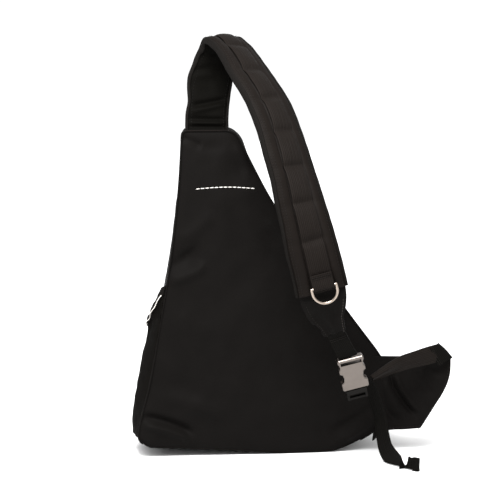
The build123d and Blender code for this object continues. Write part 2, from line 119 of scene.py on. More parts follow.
def resample(points, count):
    points = np.asarray(points, float)
    steps = np.linalg.norm(np.diff(points[:, :3], axis=0), axis=1)
    along = np.concatenate([[0], np.cumsum(steps)])
    wanted = np.linspace(0, along[-1], count)
    return np.stack([np.interp(wanted, along, points[:, k]) for k in range(points.shape[1])], axis=1)


def rounded(corners):
    """A closed outline whose corners, given as x, z and a cut length, are replaced by short curves."""
    p = np.asarray(corners, float)
    line = []
    for before, corner, after in zip(np.roll(p, 1, axis=0), p, np.roll(p, -1, axis=0)):
        to_before = before[:2] - corner[:2]
        to_after = after[:2] - corner[:2]
        a = corner[:2] + unit(to_before) * min(corner[2], 0.48 * np.linalg.norm(to_before))
        b = corner[:2] + unit(to_after) * min(corner[2], 0.48 * np.linalg.norm(to_after))
        for t in np.linspace(0, 1, 7):
            line.append((1 - t) ** 2 * a + 2 * t * (1 - t) * corner[:2] + t * t * b)
    return np.array(line)


# ---- meshes ----------------------------------------------------------------------------------------------
def add(name, data):
    obj = bpy.data.objects.new(name, data)
    bpy.context.scene.collection.objects.link(obj)
    return obj


def make_mesh(name, points, faces, material, uv=None):
    mesh = bpy.data.meshes.new(name)
    mesh.from_pydata((np.asarray(points, float).reshape(-1, 3) * MM).tolist(), [], faces)
    if uv is not None:
        layer = mesh.uv_layers.new(name="UVMap")
        index = np.empty(len(mesh.loops), int)
        mesh.loops.foreach_get("vertex_index", index)
        layer.data.foreach_set("uv", (np.asarray(uv, float).reshape(-1, 2)[index] * MM).ravel())
    mesh.validate()
    mesh.update()
    mesh.shade_smooth()
    mesh.materials.append(material)
    return add(name, mesh)


def grid_faces(rows, columns, wrap=False, start=0):
    faces = []
    last = columns if wrap else columns - 1
    for i in range(rows - 1):
        for j in range(last):
            k = (j + 1) % columns
            faces.append((start + i * columns + j, start + i * columns + k,
                          start + (i + 1) * columns + k, start + (i + 1) * columns + j))
    return faces


def grid_uv(points):
    """Lengths along both ways of a grid, for weaves."""
    down = np.linalg.norm(np.diff(points, axis=0), axis=2)
    across = np.linalg.norm(np.diff(points, axis=1), axis=2)
    v = np.vstack([np.zeros((1, points.shape[1])), np.cumsum(down, axis=0)])
    u = np.hstack([np.zeros((points.shape[0], 1)), np.cumsum(across, axis=1)])
    v = np.repeat(v.mean(axis=1)[:, None], points.shape[1], axis=1)
    u = u - u.mean(axis=1, keepdims=True)
    return np.stack([u, v], axis=2)


def shell_mesh(name, outer, inner, faces, rim, material, uv):
    """Two skins of the same faces, joined along the rim, which is given as pairs of points."""
    outer = np.reshape(outer, (-1, 3))
    count = len(outer)
    under = [tuple(v + count for v in reversed(face)) for face in faces]
    sides = [(b, a, a + count, b + count) for a, b in rim]
    uv = np.reshape(uv, (-1, 2))
    return make_mesh(name, np.vstack([outer, np.reshape(inner, (-1, 3))]), faces + under + sides, material,
                     np.vstack([uv, uv]))


def sheet_mesh(name, points, thick, material, inward):
    """A grid of points made into a thin closed sheet; its second face is thick behind the first."""
    rows, columns, _ = points.shape
    index = np.arange(rows * columns).reshape(rows, columns)
    rim = [int(v) for v in np.concatenate([index[0], index[1:, -1], index[-1, -2::-1], index[-2:0:-1, 0]])]
    return shell_mesh(name, points, points + inward * thick, grid_faces(rows, columns),
                      zip(rim, rim[1:] + rim[:1]), material, grid_uv(points))


def tube_mesh(name, rings, material, caps=True):
    """Rings of points joined into a closed body."""
    rows, columns, _ = rings.shape
    faces = grid_faces(rows, columns, wrap=True)
    points = rings.reshape(-1, 3)
    uv = grid_uv(rings).reshape(-1, 2)
    if caps:
        points = np.vstack([points, rings[0].mean(axis=0), rings[-1].mean(axis=0)])
        uv = np.vstack([uv, uv[0], uv[-1]])
        first, last = len(points) - 2, len(points) - 1
        end = (rows - 1) * columns
        for j in range(columns):
            k = (j + 1) % columns
            faces.append((first, k, j))
            faces.append((last, end + j, end + k))
    return make_mesh(name, points, faces, material, uv)


def path_frames(rows):
    """Along, across and outward directions at each row of (x, y, z, width, turn in degrees)."""
    middle = rows[:, :3]
    along = unit(np.gradient(middle, axis=0))
    turn = np.radians(rows[:, 4])
    across = np.stack([np.cos(turn), np.sin(turn), np.zeros(len(rows))], axis=1)
    across = unit(across - along * (across * along).sum(axis=1, keepdims=True))
    return middle, along, across, unit(np.cross(along, across))


def stitches(name, places, alongs, outs, length, radius, material):
    """Short thread stitches: each is a small arched capsule that lies on the cloth."""
    points, faces = [], []
    steps, sides = 5, 6
    for place, along, out in zip(places, alongs, outs):
        side = np.cross(along, out)
        base = len(points)
        for i in range(steps):
            share = i / (steps - 1) - 0.5
            thick = radius * (1.0 - 0.75 * (2 * abs(share)) ** 3)
            centre = place + along * share * length + out * (radius * 0.5 * (1 - 4 * share * share))
            for j in range(sides):
                angle = 2 * math.pi * j / sides
                points.append(centre + side * thick * math.cos(angle) + out * thick * math.sin(angle))
        for face in grid_faces(steps, sides, wrap=True, start=base):
            faces.append(face)
        faces.append(tuple(base + j for j in range(sides - 1, -1, -1)))
        faces.append(tuple(base + (steps - 1) * sides + j for j in range(sides)))
    return make_mesh(name, points, faces, material)


def seam_stitches(name, line, outs, pitch, material, length=2.6, radius=0.32):
    """Stitches spaced along a line of points."""
    line = np.asarray(line, float)
    steps = np.linalg.norm(np.diff(line, axis=0), axis=1)
    total = steps.sum()
    count = max(int(total / pitch), 2)
    both = resample(np.hstack([line, np.broadcast_to(outs, line.shape)]), count)
    along = unit(np.gradient(both[:, :3], axis=0))
    return stitches(name, both[:, :3], along, unit(both[:, 3:]), length, radius, material)


# ---- materials -------------------------------------------------------------------------------------------
class Finish:
    """A node material built up step by step."""

    def __init__(self, name, color, roughness, metallic=0.0, specular=0.5):
        self.material = bpy.data.materials.new(name)
        self.material.use_nodes = True
        self.nodes = self.material.node_tree.nodes
        self.links = self.material.node_tree.links
        self.shader = self.nodes["Principled BSDF"]
        self.shader.inputs["Base Color"].default_value = (*color, 1)
        self.shader.inputs["Roughness"].default_value = roughness
        self.shader.inputs["Metallic"].default_value = metallic
        self.shader.inputs["Specular IOR Level"].default_value = specular
        self.color = color
        self.height = None
        coordinates = self.nodes.new("ShaderNodeTexCoord")
        self.uv = coordinates.outputs["UV"]
        self.place = coordinates.outputs["Object"]

    def node(self, kind, **values):
        made = self.nodes.new(kind)
        for key, value in values.items():
            setattr(made, key, value)
        return made

    def math(self, operation, a, b=None):
        made = self.node("ShaderNodeMath", operation=operation)
        for socket, value in zip(made.inputs, (a, b)):
            if value is None:
                continue
            if isinstance(value, (int, float)):
                socket.default_value = value
            else:
                self.links.new(value, socket)
        return made.outputs[0]

    def noise(self, scale, detail):
        made = self.node("ShaderNodeTexNoise")
        made.inputs["Scale"].default_value = scale
        made.inputs["Detail"].default_value = detail
        made.inputs["Roughness"].default_value = 0.5
        self.links.new(self.place, made.inputs["Vector"])
        return made.outputs["Fac"]

    def uv_axes(self):
        split = self.node("ShaderNodeSeparateXYZ")
        self.links.new(self.uv, split.inputs[0])
        return split.outputs[0], split.outputs[1]

    def wave(self, value, pitch):
        """A sine wave, with a pitch in metres, of a length."""
        return self.math("SINE", self.math("MULTIPLY", value, 2 * math.pi / pitch))

    def stripes(self, pitch):
        """Ribs that run lengthwise."""
        return self.math("MULTIPLY_ADD", self.wave(self.uv_axes()[0], pitch), 0.5)

    def weave(self, pitch):
        """Plain weave: the two thread directions in turn."""
        across, along = self.uv_axes()
        return self.math("MULTIPLY", self.wave(across, pitch), self.wave(along, pitch))

    def twill(self, pitch):
        """Slanted ribs."""
        return self.wave(self.math("ADD", *self.uv_axes()), pitch)

    def add_bump(self, value, strength, distance):
        made = self.node("ShaderNodeBump")
        made.inputs["Strength"].default_value = strength
        made.inputs["Distance"].default_value = distance
        self.links.new(value, made.inputs["Height"])
        if self.height is not None:
            self.links.new(self.height, made.inputs["Normal"])
        self.height = made.outputs["Normal"]
        self.links.new(self.height, self.shader.inputs["Normal"])

    def span(self, value, low, high):
        made = self.node("ShaderNodeMapRange")
        made.inputs["To Min"].default_value = low
        made.inputs["To Max"].default_value = high
        self.links.new(value, made.inputs["Value"])
        return made.outputs[0]

    def vary_color(self, value, low, high):
        """Multiply the colour by a range of brightness."""
        factor = self.span(value, low, high)
        mix = self.node("ShaderNodeMix", data_type="RGBA", blend_type="MULTIPLY")
        mix.inputs["Factor"].default_value = 1.0
        source = self.shader.inputs["Base Color"]
        if source.is_linked:
            self.links.new(source.links[0].from_socket, mix.inputs["A"])
        else:
            mix.inputs["A"].default_value = (*self.color, 1)
        self.links.new(factor, mix.inputs["B"])
        self.links.new(mix.outputs["Result"], source)

    def vary_roughness(self, value, low, high):
        self.links.new(self.span(value, low, high), self.shader.inputs["Roughness"])

    def sheen(self, weight, roughness):
        self.shader.inputs["Sheen Weight"].default_value = weight
        self.shader.inputs["Sheen Roughness"].default_value = roughness


def nylon(name, color, roughness=0.62, sheen=0.02, pitch=0.0011, depth=0.00006, specular=0.12):
    finish = Finish(name, color, roughness, specular=specular)
    finish.add_bump(finish.weave(pitch), 0.5, depth)
    finish.add_bump(finish.noise(900.0, 2.0), 0.25, 0.0001)
    finish.add_bump(finish.noise(55.0, 3.0), 0.35, 0.0008)
    finish.vary_color(finish.noise(38.0, 4.0), 0.82, 1.18)
    finish.vary_color(finish.weave(pitch), 0.9, 1.1)
    finish.vary_roughness(finish.noise(70.0, 3.0), roughness - 0.08, roughness + 0.08)
    finish.sheen(sheen, 0.45)
    return finish.material


def ribbed(name, color, pitch=0.0021, roughness=0.6, sheen=0.02, specular=0.14):
    """Woven webbing: ribs along its length crossed by a fine chevron."""
    finish = Finish(name, color, roughness, specular=specular)
    finish.add_bump(finish.stripes(pitch), 0.8, 0.00035)
    finish.add_bump(finish.twill(0.0013), 0.5, 0.00012)
    finish.add_bump(finish.noise(700.0, 2.0), 0.3, 0.0001)
    finish.vary_color(finish.stripes(pitch), 0.75, 1.25)
    finish.vary_color(finish.noise(60.0, 3.0), 0.88, 1.12)
    finish.vary_roughness(finish.noise(90.0, 3.0), roughness - 0.07, roughness + 0.07)
    finish.sheen(sheen, 0.4)
    return finish.material


def mesh_cloth(name, color):
    """Knitted mesh: rows of small dark holes."""
    finish = Finish(name, color, 0.8, specular=0.01)
    cells = finish.node("ShaderNodeTexVoronoi", feature="F1")
    cells.inputs["Scale"].default_value = 420.0
    cells.inputs["Randomness"].default_value = 0.12
    finish.links.new(finish.uv, cells.inputs["Vector"])
    hole = finish.math("LESS_THAN", cells.outputs["Distance"], 0.33)
    open_share = finish.math("SUBTRACT", 1.0, hole)
    finish.add_bump(cells.outputs["Distance"], 0.9, 0.0005)
    finish.vary_color(open_share, 0.18, 1.3)
    finish.vary_color(finish.noise(45.0, 3.0), 0.85, 1.15)
    return finish.material


def metal(name, color, roughness, wear):
    finish = Finish(name, color, roughness, metallic=1.0)
    finish.add_bump(finish.noise(260.0, 4.0), 0.12, 0.0003)
    finish.vary_color(finish.noise(120.0, 5.0), 1.0 - wear, 1.0)
    finish.vary_roughness(finish.noise(180.0, 4.0), roughness - 0.06, roughness + 0.1)
    return finish.material


def plastic(name, color, roughness, specular=0.25):
    finish = Finish(name, color, roughness, specular=specular)
    finish.add_bump(finish.noise(1500.0, 3.0), 0.25, 0.00008)
    finish.vary_color(finish.noise(90.0, 4.0), 0.88, 1.12)
    finish.vary_roughness(finish.noise(140.0, 4.0), roughness - 0.06, roughness + 0.08)
    return finish.material


def thread(name, color):
    finish = Finish(name, color, 0.6, specular=0.06)
    finish.add_bump(finish.noise(2400.0, 2.0), 0.4, 0.0001)
    finish.vary_color(finish.noise(160.0, 3.0), 0.85, 1.1)
    finish.sheen(0.01, 0.4)
    return finish.material


BLACK = nylon("black_nylon", (0.0040, 0.0035, 0.0032), sheen=0.005, specular=0.02)
STRAP = nylon("strap_nylon", (0.0050, 0.0037, 0.0030), roughness=0.6, sheen=0.008, specular=0.04)
STRAP_LINING = nylon("strap_lining", (0.0024, 0.0022, 0.0018), roughness=0.7, sheen=0.0, specular=0.015)
GROSGRAIN = ribbed("binding_tape", (0.0052, 0.0045, 0.0040), pitch=0.0012, sheen=0.0, specular=0.03)
WEBBING = ribbed("webbing", (0.0062, 0.0047, 0.0039), sheen=0.008, specular=0.04)
# The webbing painted darker: painted shade for webbing that hangs low, lies under the strap's end or turns in
# a fold.
SHADED_WEBBING = ribbed("painted_shade_webbing", (0.0032, 0.0029, 0.0025), sheen=0.0, specular=0.02)
MESH = mesh_cloth("pocket_mesh", (0.0034, 0.0030, 0.0026))
TAPE = ribbed("zip_tape", (0.0066, 0.0062, 0.0059), pitch=0.0009, sheen=0.0, specular=0.04)
COIL = plastic("zip_coil", (0.0100, 0.0095, 0.0092), 0.35)
BLACK_THREAD = thread("black_thread", (0.0085, 0.0072, 0.0063))
DARK_THREAD = thread("dark_thread", (0.0042, 0.0038, 0.0034))
# Black thread painted lighter: a painted highlight for a stitch row that catches the light.
PAINTED_LIT_THREAD = thread("painted_lit_black_thread", (0.034, 0.030, 0.027))
WHITE_THREAD = thread("white_thread", (0.72, 0.69, 0.65))
RING_METAL = metal("ring_metal", (0.34, 0.285, 0.24), 0.26, 0.25)
BUCKLE_SILVER = metal("buckle_silver", (0.142, 0.124, 0.112), 0.34, 0.2)
ZIP_METAL = metal("zip_metal", (0.060, 0.057, 0.055), 0.4, 0.35)
PLASTIC = plastic("black_plastic", (0.0050, 0.0045, 0.0040), 0.5, specular=0.06)


def paint_node(node, material):
    """Give a carried-over CAD piece its finish."""
    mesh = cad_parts[node].data
    mesh.materials.clear()
    mesh.materials.append(material)


def place(obj, body, slot, *nodes):
    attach(obj, body)
    if nodes:
        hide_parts(*nodes)
    return obj


def sew(body, slot, *seam, **size):
    """A row of stitches that rides on a body."""
    return place(seam_stitches(*seam, **size), body, slot)


# ---- camera, light and floor -----------------------------------------------------------------------------
def point_at(obj, direction):
    obj.rotation_mode = "QUATERNION"
    obj.rotation_quaternion = direction.to_track_quat("-Z", "Y")


def camera():
    data = bpy.data.cameras.new("camera")
    obj = add("camera", data)
    azimuth, elevation, distance = math.radians(-8.0), math.radians(7.0), 2200.0
    back = Vector((math.sin(azimuth) * math.cos(elevation), -math.cos(azimuth) * math.cos(elevation),
                   math.sin(elevation)))
    aim = Vector((-11.8, 20.0, 247.0))
    obj.location = (aim + back * distance) * MM
    point_at(obj, -back)
    data.lens = 132.0
    data.sensor_width = 36.0
    bpy.context.scene.camera = obj


def area_light(name, location, aim, size, power):
    data = bpy.data.lights.new(name, "AREA")
    data.shape = "RECTANGLE"
    data.size, data.size_y = size
    data.energy = power
    obj = add(name, data)
    obj.location = location
    point_at(obj, Vector(aim) - Vector(location))


def sun(toward, strength, spread):
    data = bpy.data.lights.new("sun", "SUN")
    data.energy = strength
    data.angle = math.radians(spread)
    point_at(add("sun", data), -toward)


def studio():
    world = bpy.data.worlds.new("studio")
    bpy.context.scene.world = world
    world.use_nodes = True
    world.node_tree.nodes["Background"].inputs[0].default_value = (1.0, 1.0, 1.0, 1)
    world.node_tree.nodes["Background"].inputs[1].default_value = 1.08
    bpy.context.scene.view_settings.view_transform = "Standard"
    sun(Vector((-0.35, -0.75, 1.15)), 2.4, 45.0)
    area_light("key", (-0.20, -0.56, 0.90), (-0.06, 0.0, 0.46), (0.4, 0.3), 16)
    floor = make_mesh("floor", [(-6000, -6000, -0.2), (6000, -6000, -0.2), (6000, 6000, -0.2),
                                (-6000, 6000, -0.2)], [(0, 1, 2, 3)], floor_material())


def floor_material():
    finish = Finish("floor_white", (0.93, 0.93, 0.93), 0.9, specular=0.1)
    finish.vary_color(finish.noise(3.0, 2.0), 0.985, 1.0)
    return finish.material


# ---- bag outline -----------------------------------------------------------------------------------------
BACK_LINE = rounded(OUTLINE)


def side_x(z, right):
    """The outline's left or right edge at a height."""
    line = BACK_LINE
    after = np.roll(line, -1, axis=0)
    hits = []
    for (xa, za), (xb, zb) in zip(line, after):
        if (za - z) * (zb - z) <= 0 and za != zb:
            hits.append(xa + (xb - xa) * (z - za) / (zb - za))
    return max(hits) if right else min(hits)


def taper(x):
    """How far the front outline is drawn in, from left to right."""
    share = smooth((x + 130.0) / 260.0)
    return LEFT_TAPER * (1 - share) - RIGHT_TAPER * share


def panel_rows(rows):
    """Heights for a panel's rows, closer together near its two ends."""
    share = np.linspace(0, 1, rows)
    eased = (0.5 - 0.5 * np.cos(math.pi * (0.04 + 0.92 * share)) - 0.00394) / 0.99212
    return 0.25 + (BAG_HEIGHT - 0.5) * eased


def panel_grid(rows, columns):
    z = panel_rows(rows)
    left = np.array([side_x(v, False) for v in z])
    right = np.array([side_x(v, True) for v in z])
    share = 0.5 - 0.5 * np.cos(math.pi * np.linspace(0, 1, columns))
    share = 0.6 * np.linspace(0, 1, columns) + 0.4 * share
    x = left[:, None] + (right - left)[:, None] * share[None, :]
    return x, np.repeat(z[:, None], columns, axis=1)


def segment_distance(points, polygon):
    """Distance from each point to a closed outline."""
    best = np.full(len(points), 1e9)
    for start, end in zip(polygon, np.roll(polygon, -1, axis=0)):
        run = end - start
        share = np.clip(((points - start) @ run) / max(run @ run, 1e-9), 0, 1)
        best = np.minimum(best, np.linalg.norm(points - start - share[:, None] * run, axis=1))
    return best


def edge_distance(x, z):
    """Distance from a point inside the bag's outline to its nearest edge."""
    points = np.stack([x, z], axis=-1).reshape(-1, 2)
    return segment_distance(points, BACK_LINE).reshape(x.shape)


# How far the base's back edge hangs above the floor: x and height.
FOOT_LIFT = [
    (-151, 5.0), (-137, 10.0), (-96, 10.5), (-19.5, 4.3), (23, 0.0), (88, 0.0), (118, 5.0), (150, 7.0),
]


def settle(points):
    """The soft base: its back edge hangs clear of the floor at both sides, and its left side bulges."""
    x, y, z = points[..., 0], points[..., 1], points[..., 2]
    lift = np.interp(x, [p[0] for p in FOOT_LIFT], [p[1] for p in FOOT_LIFT])
    moved = points.copy()
    moved[..., 2] += lift * np.clip(1 - y / 88.0, 0, 1) * smooth((95.0 - z) / 95.0)
    moved[..., 0] -= 3.0 * bump(z - 34.0, 42.0) * smooth((-x - 95.0) / 45.0) * smooth((110.0 - y) / 60.0)
    return moved


def crease(x, z, start, end, width, height, sag):
    """A ridge, or with a negative height a valley, along a line that may sag in its middle."""
    dx, dz = end[0] - start[0], end[1] - start[1]
    length = math.hypot(dx, dz)
    share = ((x - start[0]) * dx + (z - start[1]) * dz) / length ** 2
    off = ((x - start[0]) * -dz + (z - start[1]) * dx) / length
    off = off - sag * (1 - (2 * share - 1) ** 2)
    fade = smooth(share / 0.25) * smooth((1 - share) / 0.25)
    return height * fade * bump(off, width)


def creases(x, z, rows):
    return sum(crease(x, z, *row) for row in rows)


# ---- back panel ------------------------------------------------------------------------------------------
PANEL_LIP = 5.0
# Each crease: where it starts and ends (x, z), its width, its height (a valley is negative) and its sag.
PANEL_CREASES = [
    ((-116, 212), (-64, 236), 6.0, 4.2, -4), ((-114, 228), (-70, 262), 6.0, -2.6, -4),
    ((-104, 262), (-58, 296), 8.0, 2.4, -5), ((-146, 48), (-78, 16), 5.5, -6.5, 4),
    ((-146, 34), (-84, 7), 5.0, 4.6, 4), ((-130, 74), (-36, 38), 11.0, 3.2, 6),
    ((-136, 96), (-70, 70), 12.0, -2.2, 5), ((88, 12), (146, 46), 6.0, 4.2, -7),
    ((80, 26), (140, 62), 6.5, -3.4, -7), ((-97, 386), (-70, 372), 4.5, -3.0, 0),
    ((-34, 378), (-14, 330), 5.5, 2.6, 2), ((-66, 300), (6, 322), 13.0, 2.4, 4),
    ((2, 286), (40, 250), 6.0, 2.8, 3), ((0, 248), (48, 228), 7.0, -2.2, 3),
    ((30, 160), (118, 120), 16.0, 2.6, 7), ((-80, 150), (60, 184), 26.0, 3.0, 8),
    ((-118, 176), (-30, 120), 14.0, 2.0, 8), ((-20, 110), (96, 70), 20.0, -2.2, 8),
]


def back_surface(x, z):
    """How far the padded back panel stands out of its seam plane, towards -Y."""
    edge = edge_distance(x, z)
    out = 3.6 * (1 - np.exp(-edge / 8.0)) + 3.2 * smooth(edge / 80.0)
    for x_mid, z_mid, wide, tall, deep in (
        (-88, 240, 17, 12, 5.0), (-22, 348, 17, 13, 4.6), (14, 262, 15, 16, 4.4), (-60, 372, 16, 8, 1.8),
    ):
        out -= deep * np.exp(-(((x - x_mid) / wide) ** 2 + ((z - z_mid) / tall) ** 2))
    return out + creases(x, z, PANEL_CREASES)


def panel_wrinkles(points):
    return 2.0 * (0.9 * wobble(points, 52.0, 3.1) + 0.45 * wobble(points, 21.0, 8.7))


def back_panel():
    x, z = panel_grid(150, 110)
    flat = np.stack([x, np.zeros_like(x), z], axis=2)
    out = back_surface(x, z) + panel_wrinkles(flat) * smooth(edge_distance(x, z) / 25.0)
    points = np.stack([x, PANEL_LIP - out, z], axis=2)
    behind = TO_FRONT * (9.0 - points[..., 1:2])
    obj = sheet_mesh("back_panel_padded", settle(points), 1.0, BLACK, inward=behind)
    place(obj, "bag", "black_nylon", "back_panel_skin", "back_panel_foam", "back_panel_lining")


def contrast_row():
    share = np.linspace(0, 1, 13)
    x = -76.5 + 65.0 * share
    z = 323.0 + 2.0 * np.sin(math.pi * share)
    y = PANEL_LIP - back_surface(x, z) - panel_wrinkles(np.stack([x, 0 * x, z], axis=1)) - 0.1
    line = np.stack([x, y, z], axis=1)
    outs = np.tile([0.0, -1.0, 0.0], (13, 1))
    obj = stitches("contrast_stitch_row", line, unit(np.gradient(line, axis=0)), outs, 4.9, 0.5, WHITE_THREAD)
    place(obj, "bag", "white_thread", "contrast_stitches")


# ---- gussets and base ------------------------------------------------------------------------------------
def ring_line(count):
    """The rounded outline as evenly spaced points, with outward directions."""
    closed = np.vstack([BACK_LINE, BACK_LINE[:1]])
    points = resample(closed, count + 1)[:-1]
    tangent = unit(np.roll(points, -1, axis=0) - np.roll(points, 1, axis=0))
    outward = np.stack([-tangent[:, 1], tangent[:, 0]], axis=1)
    return points, outward


def gusset_band():
    """The fabric all round between the back seam and the front seam, with soft folds."""
    count, steps = 420, 46
    line, outward = ring_line(count)
    share = np.linspace(0, 1, steps)
    depth_share = share[:, None]
    x = line[None, :, 0] + np.array([taper(v) for v in line[:, 0]])[None, :] * depth_share
    z = np.repeat(line[None, :, 1], steps, axis=0)
    front = BASE_DEPTH - SLOPE * line[:, 1] - 0.8
    y = 4.0 + (front[None, :] - 4.0) * depth_share
    flat = np.stack([x, y, z], axis=2)
    hollow = np.sin(math.pi * depth_share)
    on_side = smooth((z - 14.0) / 30.0)
    sag = (2.4 * hollow - 1.6 * bump((depth_share - 0.5), 0.18)) * on_side
    folds = 2.4 * wobble(flat * np.array([1.0, 0.6, 1.0]), 34.0, 5.3) + 1.1 * wobble(flat, 14.0, 2.2)
    push = sag + folds * hollow ** 0.6 * on_side
    x = x + outward[None, :, 0] * push
    z = z + outward[None, :, 1] * push
    z = np.maximum(z, 0.1)
    rings = settle(np.stack([x, y, z], axis=2))
    inner = rings - 1.4 * np.stack([outward[:, 0], 0 * outward[:, 0], outward[:, 1]], axis=1)[None]
    faces = [tuple(reversed(face)) for face in grid_faces(steps, count, wrap=True)]
    end = (steps - 1) * count
    rim = [((j + 1) % count, j) for j in range(count)]
    rim += [(end + j, end + (j + 1) % count) for j in range(count)]
    obj = shell_mesh("body_gusset", rings, inner, faces, rim, BLACK, grid_uv(rings))
    place(obj, "bag", "black_nylon", "left_gusset", "right_gusset", "top_gusset", "base_panel")
    return rings


def base_stiffener():
    """A thin board that lies inside on the base and bends with it."""
    x, y = np.meshgrid(np.linspace(-82, 86, 40), np.linspace(16, 104, 24), indexing="ij")
    points = settle(np.stack([x, y, np.full_like(x, 5.2)], axis=-1))
    obj = sheet_mesh("base_stiffener", points, 2.4, PLASTIC, inward=DOWN)
    place(obj, "bag", "board", "base_board")


def rope(name, line, radius, material, flat=1.0, sides=10, closed=True):
    """A covered cord or folded edge that follows a line."""
    line = np.asarray(line, float)
    if closed:
        tangent = unit(np.roll(line, -1, axis=0) - np.roll(line, 1, axis=0))
    else:
        tangent = unit(np.gradient(line, axis=0))
    up = np.array([0.0, 1.0, 0.0])
    side = unit(np.cross(tangent, up))
    angles = np.linspace(0, 2 * math.pi, sides, endpoint=False)
    rings = (line[:, None, :] + side[:, None, :] * np.cos(angles)[None, :, None] * radius
             + up[None, None, :] * np.sin(angles)[None, :, None] * radius * flat)
    if closed:
        rings = np.concatenate([rings, rings[:1]], axis=0)
        return tube_mesh(name, rings, material, caps=False)
    return tube_mesh(name, rings, material)


def seam_piping(rings):
    """Bound edges along the back and front seams."""
    line, outward = ring_line(420)
    keep = line[:, 1] > 9.0
    first = int(np.argmax(keep & ~np.roll(keep, 1)))
    order = [(first + i) % len(line) for i in range(int(keep.sum()))]
    wave = 0.5 * np.sin(np.arange(len(order)) / 7.0)
    back = np.stack([line[order, 0] - outward[order, 0] * 0.2, 4.6 + wave,
                     line[order, 1] + outward[order, 1] * 0.3], axis=1)
    obj = rope("back_seam_binding", settle(back), 1.2, BLACK, flat=1.3, closed=False)
    place(obj, "bag", "binding", "edge_binding")
    front = rings[-1][order].copy()
    front[:, 0] += outward[order, 0] * 0.2
    front[:, 2] += outward[order, 1] * 0.2
    obj = rope("front_seam_piping", front, 1.7, GROSGRAIN, closed=False)
    place(obj, "bag", "binding")


# ---- strap -----------------------------------------------------------------------------------------------
STRAP_LENGTH = 466.0
TACK_PLACES = [STRAP_LENGTH - v for v in (63.5, 107.0, 150.5, 194.0, 237.5, 281.0, 324.5)]


class Path:
    """A ribbon's route: its middle line with across and outward directions, to be asked for points."""

    def __init__(self, stations, count):
        rows = spline(stations, count)
        self.middle, self.along, self.across, self.out = path_frames(rows)
        self.width = rows[:, 3]
        steps = np.linalg.norm(np.diff(self.middle, axis=0), axis=1)
        self.s = np.concatenate([[0], np.cumsum(steps)])

    def at(self, s, u, v):
        """Points s along the route, u across it and v out of it; the three are arrays of one shape."""
        s, u, v = np.broadcast_arrays(s, u, v)

        def pick(values):
            return np.stack([np.interp(s, self.s, values[:, k]) for k in range(3)], axis=-1)

        across, out = unit(pick(self.across)), unit(pick(self.out))
        return pick(self.middle) + across * u[..., None] + out * v[..., None]

    def half(self, s):
        return np.interp(s, self.s, self.width) / 2

    def outward(self, s):
        s = np.asarray(s, float)
        return unit(np.stack([np.interp(s, self.s, self.out[:, k]) for k in range(3)], axis=-1))


STRAP_PATH = Path(STRAP_STATIONS, 240)


def tack_dip(s):
    return sum(bump(s - place, 4.5) for place in TACK_PLACES)


def tack_swell(s):
    """0 at the rows of bar tacks and 1 between them."""
    places = sorted(TACK_PLACES)
    value = np.zeros_like(s)
    for a, b in zip([places[0] - 43.5] + places, places + [places[-1] + 43.5]):
        share = (s - a) / (b - a)
        value = np.where((share >= 0) & (share <= 1), np.sin(math.pi * np.clip(share, 0, 1)), value)
    return value


def outer_height(s, u, half):
    """The pad's outer face: two crowned strips and a hollow for the webbing."""
    left_strip = (u + half) / (WEBBING_LEFT + half)
    right_strip = (half - u) / (half - WEBBING_RIGHT)

    def crown(strip):
        return np.sin(math.pi * np.clip(strip, 0, 1)) ** 0.8

    height = np.zeros_like(s + u)
    height = height + np.where(u < WEBBING_LEFT, 1.7 * crown(left_strip), 0)
    height = height + np.where(u > WEBBING_RIGHT, 1.4 * crown(right_strip), 0)
    height = height - 2.4 * bump(u - WEBBING_LEFT + 0.6, 1.3) - 0.7 * bump(u - WEBBING_RIGHT - 0.6, 1.5)
    inside = smooth((u - WEBBING_LEFT) / 4) * smooth((WEBBING_RIGHT - u) / 4)
    height = height + inside * (0.9 * tack_swell(s) - 1.3 * tack_dip(s))
    return height - 0.5 * tack_dip(s) * (1 - inside)


# Creases of the lining, as distances along the strap and across it.
LINING_CREASES = [
    ((30, -26), (46, 26), 3.2, -4.0, 2.0), ((23, -26), (39, 26), 3.0, 3.0, 2.0),
    ((16, -27), (17, 27), 2.6, -3.2, 0.5), ((11, -27), (12, 27), 2.4, 2.6, 0.0),
    ((7, -27), (7, 27), 2.0, -2.2, 0.0), ((58, -28), (72, 4), 5.0, 2.2, -1.5),
    ((66, -28), (84, 10), 4.0, -1.8, -1.5), ((88, -24), (104, 24), 6.0, 1.6, 2.0),
]


def inner_height(s, u):
    """The pad's lining side, with the folds where the strap bends out of the bag's top."""
    height = 0.8 * ripple(s * 0.5, u, 16.0, 4.4)
    height = height + 0.9 * ripple(s, 0.35 * u, 22.0, 9.4)
    height = height + creases(s, u, LINING_CREASES)
    return height * smooth((STRAP_LENGTH - s) / 30.0 + 0.3)


def pad_ring(s, half, outer_columns, inner_columns):
    """Across and outward offsets round the pad's section."""
    face = np.linspace(-1, 1, outer_columns)
    back = np.linspace(1, -1, inner_columns)[1:-1]
    u = np.concatenate([face, back])[None, :] * half[:, None]
    limit = np.concatenate([(1 - np.abs(face) ** 5) ** 0.5, -(1 - np.abs(back) ** 5) ** 0.5])
    v = PAD_HALF * limit[None, :] * np.ones_like(u)
    s_grid = np.repeat(s[:, None], u.shape[1], axis=1)
    outer = outer_height(s_grid, u, half[:, None])
    inner = inner_height(s_grid, u)
    front = np.arange(u.shape[1])[None, :] < outer_columns
    strength = np.abs(limit)[None, :]
    return u, v + np.where(front, outer, -inner) * strength


def pad_edge_wave(s):
    """The pad's left edge isn't straight: it kinks where the strap is bent."""
    return 1.4 * bump(s - 60.0, 11.0) - 1.6 * bump(s - 36.0, 10.0) + 0.4 * np.sin(s / 9.0)


